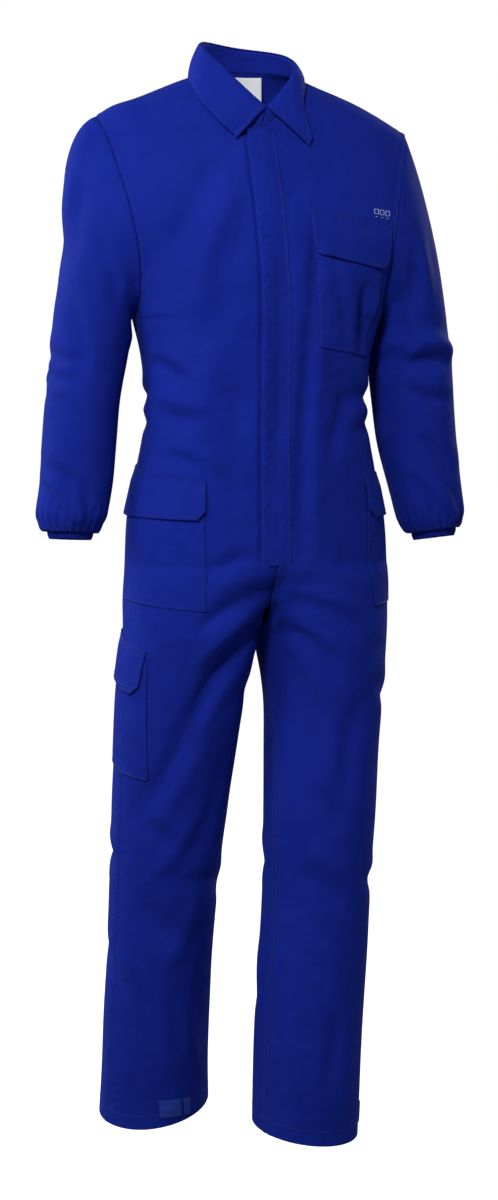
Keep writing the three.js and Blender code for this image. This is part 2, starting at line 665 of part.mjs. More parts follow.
// The placket hides the front closure: it is sewn along its left edge and lies over the right front.
const PLACKET = { from: -20, to: 20, corner: 8, heights: { from: [872, 1477], to: [872, 1477] } };
layOn("placket", "left", PLACKET, lying);

// The chest pocket reaches into the left armhole seam.
const BAG_CORNER = 3; // the pockets' lower corners are square, the flaps' are cut
const CHEST_POCKET = { from: 64, to: 188, low: { to: 158 }, corner: BAG_CORNER };
CHEST_POCKET.heights = { from: [1172, 1340], to: [1160, 1328] };
const CHEST_FLAP = { from: 60, to: 195, low: { to: 190 }, heights: { from: [1300, 1366], to: [1284, 1350] } };
layOn("chest_pocket", "left", CHEST_POCKET, lying);
layOn("chest_flap", "left", CHEST_FLAP, overPocket);

// The hip pockets go round the side seams.
const HIPS = { right: { from: 98, low: 114, to: 268 }, left: { from: 150, low: 162, to: 320 } };
const HIP_MARGIN = 3; // by which a flap is wider than its pocket on each side
for (const [side, { from, low, to }] of Object.entries(HIPS)) {
  const bag = { from: from + HIP_MARGIN, to: to - HIP_MARGIN, low: { from: low }, corner: BAG_CORNER };
  bag.heights = { from: [811, 974], to: [824, 984] };
  layOn(`hip_pocket_${side}`, side, bag, lying);
  layOn(`hip_flap_${side}`, side, { from, to, heights: { from: [935, 991], to: [939, 1010] } }, overPocket);
}

// The thigh pocket goes round the right side seam.
const THIGH_POCKET = { from: 254, to: 384, low: { from: 214, to: 352 }, corner: BAG_CORNER };
THIGH_POCKET.heights = { from: [572, 738], to: [592, 756] };
const THIGH_FLAP = { from: 262, to: 392, low: { from: 258 }, heights: { from: [693, 754], to: [712, 776] } };
layOn("thigh_pocket", "right", THIGH_POCKET, lying);
layOn("thigh_flap", "right", THIGH_FLAP, overPocket);

// Patches sewn on the hems.
const HEM_PATCHES = table(["name", "side", "from", "to", "bottom", "top"], [
  ["hem_patch_right", "right", 121, 154, 84, 110],
  ["hem_tab_right", "right", 105, 117, 84, 108],
  ["hem_patch_left", "left", 182, 226, 84, 114],
]);
for (const { name, side, from, to, bottom, top } of HEM_PATCHES) {
  const heights = { from: [bottom, top], to: [bottom, top] };
  layOn(name, side, { from, to, corner: 2, heights }, lying, patchBlue);
}

// The neckline as the panels have it: from the centre front round the left side, the back and the right side.
const TOP_ROW = HALVES.left.levels.length - 1;
const neckRows = shares(YOKE_STEPS - CENTRE_ROWS).map((t, i) => TOP_ROW - i);
const neckSide = (side) => {
  const column = (face) => neckRows.map((r) => nets[`${face}_${side}`][r][0]);
  return [...column("front").reverse(), ...column("back").slice(1)];
};
const neckRing = [...neckSide("left"), ...neckSide("right").reverse().slice(1)];
const COLLAR_STEPS = 2 * (neckRing.length - 1);

// The collar rolls over at a line that dips at the front, where it closes to the left of the centre, and that
// hangs lower on the left.
const ROLL = { width: 66, shift: -6, depth: 61, middle: 1, back: 1606, drop: 98, tilt: 0.1, closing: 13 };
function rollPoint(angle) {
  const dip = frontDip(angle);
  const x = ROLL.width * Math.sin(angle);
  const y = ROLL.middle - ROLL.depth * Math.cos(angle);
  const aside = ROLL.shift + ROLL.closing * dip ** 2;
  return new THREE.Vector3(x + aside, y, ROLL.back - ROLL.drop * dip - ROLL.tilt * x);
}

// The free edge of the fall, from its point at the front (0) to the centre back (180): it rests on the row
// of the yoke that below gives, counted from the underarm, at a distance from the neckline or the centre
// front.
const FALL = table(["angle", "below", "left", "right"], [
  [0, 5.8, 70, 40],
  [8, 6.15, 70, 41.5],
  [22, 6.8, 46, 43.5],
  [45, 7.8, 17, 40.5],
  [67, 8.95, 6, 30],
  [90, 10, 4, 22.5],
  [112, 9, 6, 20],
  [135, 8, 10, 18],
  [157, 7, 14, 16],
  [180, 6, 15, 15],
]);
const STAND_OFF = 6.5; // of the fall's outer side from the cloth at its free edge
function freeEdge(angle) {
  const side = angle < Math.PI ? "left" : "right";
  const half = Math.min(angle, 2 * Math.PI - angle);
  const value = (column) => along(FALL, column, THREE.MathUtils.radToDeg(half), "angle");
  const row = TOP_ROW - YOKE_STEPS + value("below");
  const onFront = half < QUARTER;
  const start = onFront ? 0 : SIGN[side] * CENTRE_BACK;
  const column = walk(side, row, start, onFront ? SIGN[side] : -SIGN[side], value(side));
  const { point, normal } = onCloth(row, column, side);
  return point.addScaledVector(normal, STAND_OFF);
}

const COLLAR_GAP = 0.005; // how far each front end stands back from the centre, as a share of the whole collar
const FULLNESS = 2.5; // how far the fall bows out between its bend and its free edge
const BEND = { up: 2.8, out: 4, down: 2 }; // the fall's first rows, over the top edge of the stand
const collarShares = shares(COLLAR_STEPS).map((t) => THREE.MathUtils.lerp(COLLAR_GAP, 1 - COLLAR_GAP, t));
const collarColumns = collarShares.map((share) => {
  const angle = share * 2 * Math.PI;
  const at = share * (neckRing.length - 1);
  const i = Math.min(Math.floor(at), neckRing.length - 2);
  const outwards = new THREE.Vector3(Math.sin(angle), -Math.cos(angle), 0);
  const base = neckRing[i].clone().lerp(neckRing[i + 1], at - i);
  base.z += SEAM;
  const roll = stand(rollPoint(angle));
  const top = roll.clone().setZ(roll.z + BEND.up);
  const over = top.clone().addScaledVector(outwards, BEND.out);
  over.z -= BEND.down;
  const free = freeEdge(angle);
  const fallen = (t) => over.clone().lerp(free, t).addScaledVector(outwards, FULLNESS * Math.sin(t * Math.PI));
  return {
    stand: shares(2).map((t) => base.clone().lerp(roll, t)),
    fall: [top, ...shares(3).map(fallen)],
  };
});
for (const [piece, outward] of [["stand", 1], ["fall", -1]]) {
  const net = collarColumns[0][piece].map((_, row) => collarColumns.map((column) => column[piece][row]));
  const sums = new Map();
  addNormals(net, sums, outward);
  addPiece(`collar_${piece}`, wall(net, readNormals(net, sums), CLOTH, { outward }));
}

// The label hangs straight down inside the neck, a little to the left of the centre back. It follows the
// panels' neckline: its columns are places on the neck ring, counted from the centre back to the left.
const LABEL = { columns: [-0.2, 0, 1, 1.2], top: 1566, bottom: 1516, thick: 1, clear: 0.45 };
const labelNet = shares(2).map((t) => LABEL.columns.map((column) => {
  const at = (neckRing.length - 1) / 2 - column;
  const i = Math.floor(at);
  const p = neckRing[i].clone().lerp(neckRing[i + 1], at - i);
  const inwards = new THREE.Vector3(LEAN.neck - p.x, -p.y, 0).setLength(CLOTH + LABEL.clear);
  return p.add(inwards).setZ(THREE.MathUtils.lerp(LABEL.bottom, LABEL.top, t));
}));
const labelSums = new Map();
addNormals(labelNet, labelSums, 1);
addPiece("neck_label", wall(labelNet, readNormals(labelNet, labelSums), LABEL.thick), whiteSatin);

// Elastic cuffs: narrow bands in fine gathers, half inside the sleeve ends.
const CUFF = { gathers: 26, wave: 0.8, inset: 1.4, height: 26, hidden: 9 };
for (const [side, half] of Object.entries(HALVES)) {
  const end = SLEEVES[side][0];
  const net = shares(2).map((t) => shares(2 * CUFF.gathers).slice(0, -1).map((u, i) => {
    const wave = i % 2 ? CUFF.wave : -CUFF.wave;
    const row = { ...end, wide: end.wide - CUFF.inset + wave, deep: end.deep - CUFF.inset + wave };
    const p = sleeveRing(row, u * 2 * Math.PI);
    p.z += CUFF.hidden - CUFF.height * t;
    return stand(new THREE.Vector3(p.x * half.side, p.y, p.z));
  }));
  const sums = new Map();
  const outward = FACING[`sleeve_${side}`];
  addNormals(closeLoop(net), sums, outward);
  addPiece(`cuff_${side}`, wall(net, readNormals(net, sums), CLOTH, { loop: true, outward }));
}

export default suit;
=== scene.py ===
import bpy
import numpy as np
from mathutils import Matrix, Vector


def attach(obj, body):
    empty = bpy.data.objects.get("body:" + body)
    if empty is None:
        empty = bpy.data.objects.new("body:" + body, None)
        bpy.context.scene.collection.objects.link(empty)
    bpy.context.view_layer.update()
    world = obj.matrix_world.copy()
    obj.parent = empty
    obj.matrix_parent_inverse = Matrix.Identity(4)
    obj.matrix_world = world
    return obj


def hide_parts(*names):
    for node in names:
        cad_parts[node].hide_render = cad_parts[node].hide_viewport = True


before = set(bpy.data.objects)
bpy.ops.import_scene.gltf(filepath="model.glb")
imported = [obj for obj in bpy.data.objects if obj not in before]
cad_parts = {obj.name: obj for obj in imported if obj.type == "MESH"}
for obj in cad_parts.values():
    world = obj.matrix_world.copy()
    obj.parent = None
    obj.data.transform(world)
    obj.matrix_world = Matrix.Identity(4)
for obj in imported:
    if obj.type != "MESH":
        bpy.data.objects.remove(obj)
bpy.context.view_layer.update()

# The photograph's view: a long lens 3.2 m away, level with the waist and a little to the wearer's right.
VIEW_AZIMUTH = -15.0
VIEW_TURN = 0.18  # degrees that the camera turns left, to frame the suit as in the photograph
VIEW_HEIGHT = -0.44
VIEW_DISTANCE = 3.2
SENSOR = 36.0
LENS = 67.6
VIEW_SHIFT = -1 / 6  # the frame reaches further down than up

view_way = np.radians(VIEW_AZIMUTH)
camera = bpy.data.objects.new("camera", bpy.data.cameras.new("camera"))
camera.data.sensor_width = SENSOR
camera.data.lens = LENS
camera.data.shift_y = VIEW_SHIFT
camera.data.clip_end = 30
camera.location = (VIEW_DISTANCE * np.sin(view_way), -VIEW_DISTANCE * np.cos(view_way), VIEW_HEIGHT)
camera.rotation_euler = (np.pi / 2, 0, np.radians(VIEW_AZIMUTH + VIEW_TURN))
bpy.context.scene.collection.objects.link(camera)
bpy.context.scene.camera = camera

# The studio: five soft lights, a grey floor just under the hems, and a surround. Floor and surround look
# white to the camera, but throw little light back on the cloth.
FLOOR_Z = -1.54
FLOOR_SIZE = 60.0
FLOOR_COLOUR = (0.35, 0.35, 0.36, 1)
FLOOR_ROUGHNESS = 0.9
WHITE = (1, 1, 1, 1)
STUDIO_LIGHTS = {
    # name: place, size across, watts
    "key": ((-1.0, -1.8, 0.85), 0.45, 38),
    "left": ((-2.0, -0.8, 0.3), 0.8, 18),
    "right": ((2.1, -1.0, 0.2), 0.8, 8),
    "back_left": ((-2.0, 1.7, 0.7), 1.2, 48),
    "back_right": ((2.1, 1.7, 0.5), 1.2, 40),
}
LIGHT_TARGET = Vector((0, 0, -0.5))
SURROUND = {"seen": 1.0, "light": 0.06}  # strength of the white surround as seen, and as light on the cloth
FLOOR_GLOW = 1.0  # lifts the floor to the white of the surround where the camera sees it

floor_mesh = bpy.data.meshes.new("floor")
half_floor = FLOOR_SIZE / 2
floor_corners = [(x * half_floor, y * half_floor, FLOOR_Z) for x, y in ((-1, -1), (1, -1), (1, 1), (-1, 1))]
floor_mesh.from_pydata(floor_corners, [], [(0, 1, 2, 3)])
floor = bpy.data.objects.new("floor", floor_mesh)
bpy.context.scene.collection.objects.link(floor)
floor_material = bpy.data.materials.new("pale_floor")
floor_material.use_nodes = True
floor_shader = floor_material.node_tree.nodes["Principled BSDF"]
floor_shader.inputs["Base Color"].default_value = FLOOR_COLOUR
floor_shader.inputs["Roughness"].default_value = FLOOR_ROUGHNESS
floor_rays = floor_material.node_tree.nodes.new("ShaderNodeLightPath")
floor_glow = floor_material.node_tree.nodes.new("ShaderNodeMath")
floor_glow.operation = "MULTIPLY"
floor_glow.inputs[1].default_value = FLOOR_GLOW
floor_material.node_tree.links.new(floor_rays.outputs["Is Camera Ray"], floor_glow.inputs[0])
floor_material.node_tree.links.new(floor_glow.outputs[0], floor_shader.inputs["Emission Strength"])
floor_shader.inputs["Emission Color"].default_value = WHITE
floor_mesh.materials.append(floor_material)

for light_name, (place, size, watts) in STUDIO_LIGHTS.items():
    light = bpy.data.objects.new(light_name, bpy.data.lights.new(light_name, "AREA"))
    light.data.size = size
    light.data.energy = watts
    light.location = place
    light.rotation_euler = (LIGHT_TARGET - Vector(place)).to_track_quat("-Z", "Y").to_euler()
    bpy.context.scene.collection.objects.link(light)

world = bpy.data.worlds.new("surround")
world.use_nodes = True
background = world.node_tree.nodes["Background"]
background.inputs["Color"].default_value = WHITE
rays = world.node_tree.nodes.new("ShaderNodeLightPath")
strength = world.node_tree.nodes.new("ShaderNodeMath")
strength.operation = "MULTIPLY_ADD"
strength.inputs[1].default_value = SURROUND["seen"] - SURROUND["light"]
strength.inputs[2].default_value = SURROUND["light"]
world.node_tree.links.new(rays.outputs["Is Camera Ray"], strength.inputs[0])
world.node_tree.links.new(strength.outputs[0], background.inputs["Strength"])
bpy.context.scene.world = world
bpy.context.scene.view_settings.view_transform = "Standard"

# The twill: cotton in a steep diagonal weave, dyed royal blue, matt with a faint nap that lights its edges.
# The yarns are a little uneven, the dye a little cloudy, and the cloth draws up in puckers along its seams.
TWILL_COLOURS = {"deep": (0.0048, 0.0135, 0.205, 1), "bright": (0.0088, 0.0245, 0.33, 1)}
RIBS = 1000.0  # diagonal ribs a metre
YARN_NOISE = (900.0, 220.0)  # a metre, across and along the yarns
CLOUD_NOISE = 9.0
CRUMPLE_NOISE = 26.0
PUCKER_NOISE = 190.0
SHADE = {"yarn": 0.35, "cloud": 0.75, "rib": 0.04}  # how much of each shows in the colour
RELIEF = {"rib": 0.035, "yarn": 0.12, "crumple": 5.0, "pucker": 2.6}  # and in the height
NAP_ROUGHNESS = 0.45
NAP_TINT = (0.12, 0.2, 1.0, 1)
SHINE = 0.05


def add_node(tree, kind, inputs=None, **settings):
    """A shader node with its settings, whose inputs are given values or linked to outputs."""
    node = tree.nodes.new(kind)
    for key, value in settings.items():
        setattr(node, key, value)
    for key, value in (inputs or {}).items():
        if isinstance(value, bpy.types.NodeSocket):
            tree.links.new(value, node.inputs[key])
        else:
            node.inputs[key].default_value = value
    return node


def weave_group():
    """Twill as a shader group. Rib is a wave along the sum of the cloth's own two coordinates, Yarn is noise
    drawn out along one of them, and Cloud and Crumple are broad noise. Shade adds up what colours the cloth,
    and Relief what raises it, with the puckers of the seams."""
    group = bpy.data.node_groups.new("weave", "ShaderNodeTree")
    sockets = {"Cloth": "NodeSocketVector", "Place": "NodeSocketVector", "Seam": "NodeSocketFloat"}
    for name, kind in sockets.items():
        group.interface.new_socket(name, in_out="INPUT", socket_type=kind)
    for name in ("Shade", "Relief"):
        group.interface.new_socket(name, in_out="OUTPUT", socket_type="NodeSocketFloat")
    entry = group.nodes.new("NodeGroupInput")
    leave = group.nodes.new("NodeGroupOutput")

    def maths(operation, *values):
        inputs = dict(enumerate(values))
        return add_node(group, "ShaderNodeMath", inputs, operation=operation).outputs[0]

    def noise(vector, scale, detail):
        inputs = {"Vector": vector, "Scale": scale, "Detail": detail}
        return add_node(group, "ShaderNodeTexNoise", inputs).outputs["Fac"]

    axes = add_node(group, "ShaderNodeSeparateXYZ", {"Vector": entry.outputs["Cloth"]})
    diagonal = maths("ADD", axes.outputs["X"], axes.outputs["Y"])
    rib = maths("SINE", maths("MULTIPLY", diagonal, RIBS * 2 * np.pi))
    drawn = add_node(
        group,
        "ShaderNodeVectorMath",
        {0: entry.outputs["Cloth"], 1: (*YARN_NOISE, 1)},
        operation="MULTIPLY",
    )
    yarn = noise(drawn.outputs[0], 1.0, 2.0)
    cloud = noise(entry.outputs["Place"], CLOUD_NOISE, 4.0)
    crumple = noise(entry.outputs["Place"], CRUMPLE_NOISE, 2.0)
    pucker = noise(entry.outputs["Place"], PUCKER_NOISE, 1.0)
    clouded = maths("MULTIPLY_ADD", cloud, SHADE["cloud"], maths("MULTIPLY", rib, SHADE["rib"]))
    shade = maths("MULTIPLY_ADD", yarn, SHADE["yarn"], clouded)
    group.links.new(shade, leave.inputs["Shade"])
    fine = maths("MULTIPLY_ADD", rib, RELIEF["rib"], maths("MULTIPLY", yarn, RELIEF["yarn"]))
    broad = maths("MULTIPLY_ADD", crumple, RELIEF["crumple"], fine)
    puckered = maths("MULTIPLY", entry.outputs["Seam"], pucker)
    group.links.new(maths("MULTIPLY_ADD", puckered, RELIEF["pucker"], broad), leave.inputs["Relief"])
    return group


def cloth_material(name, deep, bright, roughness, sheen, relief):
    """A woven finish: the weave's shade mixes two colours, and its relief tilts the normals, by so many
    millimetres at a height of one."""
    material = bpy.data.materials.new(name)
    material.use_nodes = True
    tree = material.node_tree
    shader = tree.nodes["Principled BSDF"]
    own = {
        "Cloth": add_node(tree, "ShaderNodeUVMap", uv_map="cloth").outputs["UV"],
        "Place": add_node(tree, "ShaderNodeTexCoord").outputs["Object"],
        "Seam": add_node(tree, "ShaderNodeAttribute", attribute_name="seam").outputs["Fac"],
    }
    weave = add_node(tree, "ShaderNodeGroup", own, node_tree=weave_nodes)
    mixed = add_node(tree, "ShaderNodeMix", {0: weave.outputs["Shade"], 6: deep, 7: bright}, data_type="RGBA")
    bump = add_node(tree, "ShaderNodeBump", {"Height": weave.outputs["Relief"], "Distance": relief / 1000})
    tree.links.new(mixed.outputs[2], shader.inputs["Base Color"])
    tree.links.new(bump.outputs["Normal"], shader.inputs["Normal"])
    surface = {
        "Roughness": roughness,
        "Sheen Weight": sheen,
        "Sheen Roughness": NAP_ROUGHNESS,
        "Sheen Tint": NAP_TINT,
        "Specular IOR Level": SHINE,
    }
    for key, value in surface.items():
        shader.inputs[key].default_value = value
    return material


weave_nodes = weave_group()
twill = cloth_material("blue_twill", **TWILL_COLOURS, roughness=0.85, sheen=0.1, relief=1.0)

# The body: one-piece fronts and backs from shoulder to hem in 1.5 mm of cloth, sewn together at the sides,
# the inside legs, the shoulders, the centre back and the front below the placket.
CROTCH = 775  # where the four leg seams meet
RISE = 95  # height of the round stretch of the crotch seam
UNDERARM = 1215
SHOULDERS = 1540  # the height of the frame's origin
SECTION = "height outer inner middle front back square turn tilt_x tilt_y"
TRUNK = [
    [CROTCH, 190, 0, 4, 112, 116, 1.0, 0, 0, 0],
    [820, 190, 0, 3, 114, 122, 0.97, 0, 0, 0],
    [870, 187, 0, 2, 115, 126, 0.94, 0, 0, 0],
    [940, 182, 0, 2, 114, 124, 0.92, 0, 0, 0],
    [1000, 172, 0, 2, 112, 114, 0.9, 0, 0, 0],
    [1060, 162, 0, 2, 112, 104, 0.9, 0, 0, 0],
    [1115, 160, 0, 2, 114, 102, 0.9, 0, 0, 0],
    [1165, 165, 0, 2, 116, 108, 0.9, 0, 0, 0],
    [UNDERARM, 177, 0, 2, 118, 116, 0.9, 0, 0, 0],
]
LEGS = {
    "left": [
        [82, 131, -16, -50, 75, 75, 1.0, -28, -0.1, 0.1],
        [169, 136, -15, -48, 76, 76, 1.0, -28, -0.04, 0.05],
        [254, 143, -10, -43, 77, 77, 1.0, -28, 0, 0.02],
        [395, 153, 2, -35, 78, 78, 1.0, -26, 0, 0],
        [536, 164, 9, -25, 83, 84, 1.0, -22, 0, 0],
        [620, 171, 13, -16, 89, 92, 1.0, -17, 0, 0],
        [676, 177, 13, -10, 95, 99, 1.0, -11, 0, 0],
        [732, 184, 7, -3, 104, 108, 1.0, -5, 0, 0],
    ],
    "right": [
        [84, 205, 47, 104, 79, 79, 1.0, 14, -0.16, 0.17],
        [160, 203, 50, 92, 78, 78, 1.0, 14, -0.08, 0.09],
        [240, 201, 51, 80, 78, 78, 1.0, 14, 0, 0.03],
        [380, 199, 47, 58, 80, 80, 1.0, 14, 0, 0],
        [525, 199, 36, 36, 87, 88, 1.0, 13, 0, 0],
        [584, 198, 30, 27, 92, 93, 1.0, 12, 0, 0],
        [673, 196, 18, 15, 98, 101, 1.0, 8, 0, 0],
        [731, 193, 8, 8, 105, 109, 1.0, 4, 0, 0],
    ],
}
ARMHOLE = np.array(
    [
        [177, 2, UNDERARM],
        [176, -36, 1240],
        [180, -62, 1288],
        [190, -66, 1346],
        [204, -44, 1410],
        [217, -14, 1458],
        [226, 6, 1482],
        [228, 20, 1489],
        [226, 40, 1480],
        [218, 64, 1438],
        [206, 80, 1380],
        [194, 82, 1318],
        [186, 68, 1262],
        [180, 36, 1230],
    ],
    float,
)
SHOULDER_PLACE = 7 / len(ARMHOLE)  # the shoulder point's share of the armhole
NECK = {"width": 70, "depth": 63, "middle": 2, "back": 1572, "drop": 94}
CENTRE_LINES = [
    [UNDERARM, -116, 118],
    [1300, -113, 126],
    [1390, -97, 124],
    [1480, -62, 106],
    [NECK["back"], -40, 66],
]
SHOULDER_ROUND = 6
YOKE_TURN = 0.6  # share of the rows above the underarm that start on the centre line
YOKE_ROWS = 80
LEAN = {"neck": -9, "shoulder": 0.018, "half_width": 228}  # the neck leans right, the left shoulder is lower
PAD = {"x": -205, "z": 1488, "rise": 9, "half_x": 32, "half_z": 45}  # the right shoulder's end stands higher
# How far a row has turned by the armhole, in degrees, at the underarm and from a share of the yoke up.
ARMHOLE_TURN = {"low": 90, "high": 66, "by": 0.35}
NECK_DIP = {"spread": 1.15, "steep": 1.6}
SIDES = {"left": 1, "right": -1}
FACES = {"front": -1, "back": 1}


def table(columns, rows):
    """Rows of numbers as one array for each named column."""
    return dict(zip(columns.split(), np.array(rows, float).T))


def smooth_through(keys, values, at):
    """A smooth curve through the values at their keys, read at any places: cubic stretches, whose slope at a
    key is that of the line between its neighbours."""
    keys, values, at = (np.asarray(a, float) for a in (keys, values, at))
    number = np.arange(len(keys))
    before, after = np.maximum(number - 1, 0), np.minimum(number + 1, len(keys) - 1)
    spread = (...,) + (None,) * (values.ndim - 1)
    slope = (values[after] - values[before]) / (keys[after] - keys[before])[spread]
    i = np.clip(np.searchsorted(keys, at) - 1, 0, len(keys) - 2)
    span = (keys[i + 1] - keys[i])[spread]
    t = (at - keys[i])[spread] / span
    rest = 1 - t
    return (
        rest**2 * (1 + 2 * t) * values[i]
        + t**2 * (3 - 2 * t) * values[i + 1]
        + span * t * rest * (rest * slope[i] - t * slope[i + 1])
    )


def closed_curve(points, at):
    """A closed curve through the points, at 0 to 1 of its stretches. Each stretch is a cubic whose speeds
    follow the square roots of the distances between points."""
    place = np.asarray(at, float) % 1 * len(points)
    i = np.floor(place).astype(int)
    t = (place - i)[..., None]
    a, b, c, d = (points[(i + k) % len(points)] for k in (-1, 0, 1, 2))
    ab, bc, cd = (np.linalg.norm(q - p, axis=-1, keepdims=True) ** 0.5 for p, q in ((a, b), (b, c), (c, d)))
    depart = bc * ((b - a) / ab - (c - a) / (ab + bc) + (c - b) / bc)
    arrive = bc * ((c - b) / bc - (d - b) / (bc + cd) + (d - c) / cd)
    rest = 1 - t
    return rest**2 * (1 + 2 * t) * b + t**2 * (3 - 2 * t) * c + t * rest * (rest * depart - t * arrive)


def ease(value, low, high):
    """0 below low, 1 above high, and an S curve between them."""
    t = np.clip((value - low) / (high - low), 0, 1)
    return t * t * (3 - 2 * t)


def front_dip(angle):
    """1 at the front of the neck, falling to 0 at the back."""
    return (1 - np.abs(np.sin(angle / 2)) ** NECK_DIP["spread"]) ** NECK_DIP["steep"]


def stand(points):
    """Leans the neck to the right, lowers the left shoulder and lifts the right one's end, by less and less
    towards the underarms."""
    x, y, z = np.moveaxis(points, -1, 0)
    high = ease(z, UNDERARM, NECK["back"] - NECK["drop"])
    middle = np.maximum(0, 1 - np.abs(x) / LEAN["half_width"])
    aside, above = (x - PAD["x"]) / PAD["half_x"], (z - PAD["z"]) / PAD["half_z"]
    pad = PAD["rise"] * np.exp(-(aside**2) - above**2)
    return np.stack([x + LEAN["neck"] * high * middle, y, z - LEAN["shoulder"] * x * high + pad], -1)


def section_points(rows, face, height, share):
    """The trunk or a leg: at each height a rounded section, whose angle runs from the inner edge to the side
    seam. Below the crotch it is a closed ring round the leg, and above, it opens along the centre line."""
    row = {name: smooth_through(rows["height"], values, height) for name, values in rows.items()}
    trunk = height >= CROTCH
    signed = lambda value: np.sign(value) * np.abs(value) ** row["square"]
    open_angle = np.arcsin(np.sqrt(np.clip((height - CROTCH) / RISE, 0, 1)))
    angle = open_angle + (np.pi - open_angle) * share
    inner = np.where(trunk, 0, row["inner"])
    radius = (row["outer"] - inner) / (1 + signed(np.cos(open_angle)))
    depth = row["front"] if face < 0 else row["back"]
    x = -radius * signed(np.cos(angle))
    y = face * depth * signed(np.sin(angle))
    turn = np.where(trunk, 0, np.radians(row["turn"]))
    x, y = x * np.cos(turn) + y * np.sin(turn), y * np.cos(turn) - x * np.sin(turn)
    lift = row["tilt_x"] * x + row["tilt_y"] * y
    return np.stack([row["outer"] - radius + x, row["middle"] + y, height + lift], -1)


def yoke_points(face, rise, share, power):
    """Chest and shoulders: each row runs from the centre line, or higher up from the neckline, to the
    armhole, as a rounded curve, and rise goes from the underarm to the shoulder seam."""
    front = face < 0
    top = NECK["back"] - (NECK["drop"] if front else 0)
    height = UNDERARM + (top - UNDERARM) * np.minimum(rise / YOKE_TURN, 1)
    lines = table("height front back", CENTRE_LINES)
    centre_y = smooth_through(lines["height"], lines["front" if front else "back"], height)
    round_neck = np.maximum(rise - YOKE_TURN, 0) / (1 - YOKE_TURN) * np.pi / 2
    angle = round_neck if front else np.pi - round_neck
    neck = (
        NECK["width"] * np.sin(angle),
        NECK["middle"] - NECK["depth"] * np.cos(angle),
        NECK["back"] - NECK["drop"] * front_dip(angle),
    )
    on_centre = rise <= YOKE_TURN
    x, y, z = (np.where(on_centre, a, b) for a, b in zip((0, centre_y, height), neck))
    outer = closed_curve(ARMHOLE, rise * SHOULDER_PLACE if front else 1 - rise * (1 - SHOULDER_PLACE))
    risen = ease(rise, 0, ARMHOLE_TURN["by"])
    end = np.radians(ARMHOLE_TURN["low"] + (ARMHOLE_TURN["high"] - ARMHOLE_TURN["low"]) * risen)
    power = power + (1 - power) * risen
    across = (np.sin(share * end) / np.sin(end)) ** power
    deep = (np.maximum(0, np.cos(share * end) - np.cos(end)) / (1 - np.cos(end))) ** power
    rounded = SHOULDER_ROUND * rise**2 * np.sin(across * np.pi)
    return np.stack(
        [
            x + (outer[..., 0] - x) * across,
            outer[..., 1] + (y - outer[..., 1]) * deep,
            z + (outer[..., 2] - z) * across + rounded,
        ],
        -1,
    )


SEAM_SHARES = [0, 0.004, 0.010, 0.018, 0.027, 0.032, 0.042]  # columns close to each edge of a panel
INNER_SHARES = np.linspace(0.053, 0.947, 80)
PANEL_SHARES = np.concatenate([SEAM_SHARES, INNER_SHARES, 1 - np.array(SEAM_SHARES[::-1])])[None]
RISES = np.linspace(0, 1, YOKE_ROWS + 1)[1:, None]
nets = {}
for side, sign in SIDES.items():
    sections = table(SECTION, LEGS[side] + TRUNK)
    hem = sections["height"][0]
    levels = np.concatenate(
        [
            hem + np.array([0, 1, 2.5]),
            np.linspace(hem + 5, CROTCH, 110)[:-1],
            CROTCH + RISE * np.linspace(0, 1, 18)[:-1] ** 2,
            np.linspace(CROTCH + RISE, UNDERARM, 60),
        ]
    )[:, None]
    for face, way in FACES.items():
        lower = section_points(sections, way, levels, PANEL_SHARES)
        upper = yoke_points(way, RISES, PANEL_SHARES, sections["square"][-1])
        nets[f"{face}_{side}"] = stand(np.concatenate([lower, upper]) * (sign, 1, 1))
FIRST_YOKE_ROW = len(levels) - 1

# The sleeves: set into the armholes, bent a little at the elbow, and gathered over elastic cuffs.
ARM = "height x y wide deep tip_x tip_y"
SLEEVES = {
    "left": [
        [1188, 231, 15, 60, 66, 0.05, 0.05],
        [1150, 235, 14, 61, 64, 0, 0.05],
        [1100, 238, 11, 60, 62, 0, 0.02],
        [1042, 242, 6, 58, 60, 0, 0],
        [985, 250, -2, 53, 56, 0.03, -0.03],
        [942, 257, -8, 50, 51, 0.06, -0.06],
        [926, 259, -10, 46, 46, 0.08, -0.08],
        [915, 261, -12, 41, 39, 0.1, -0.1],
        [912, 262, -13, 36, 34, 0.1, -0.1],
        [918, 262, -13, 33, 32, 0.1, -0.1],
    ],
    "right": [
        [1188, 235, 15, 56, 66, 0.05, 0.05],
        [1150, 241, 14, 54, 63, 0, 0.05],
        [1100, 248, 11, 52, 60, 0, 0.02],
        [1042, 254, 6, 52, 58, 0, 0],
        [985, 260, -2, 51, 55, 0.03, -0.03],
        [944, 267, -8, 49, 51, 0.04, -0.05],
        [929, 269, -10, 44, 45, 0.04, -0.06],
        [920, 270, -12, 40.5, 38, 0.05, -0.08],
        [917, 270, -13, 36, 34, 0.05, -0.08],
        [924, 270, -13, 33, 32, 0.05, -0.08],
    ],
}
# How far out and down the cloth leaves the shoulder point and the underarm, and how far it hangs in below.
CAP = {"left": (0.35, 0.95), "right": (0.62, 0.12)}
UNDER = (1, 0.3)
SINK = {"left": 0, "right": 14, "height": 1325, "half": 66}
ARRIVE = 0.9
CAP_STEPS = 30
WRIST_GATHERS = {"count": 23, "height": 1.5, "fade_from": 4, "fade_to": 5.6}
arm_places = np.concatenate(
    [
        np.linspace(0, SHOULDER_PLACE, YOKE_ROWS + 1),
        np.linspace(SHOULDER_PLACE, 1, YOKE_ROWS + 1)[1:-1],
    ]
)[None]
arm_angles = np.where(
    arm_places < SHOULDER_PLACE,
    arm_places / SHOULDER_PLACE * np.pi,
    np.pi * (1 + (arm_places - SHOULDER_PLACE) / (1 - SHOULDER_PLACE)),
)


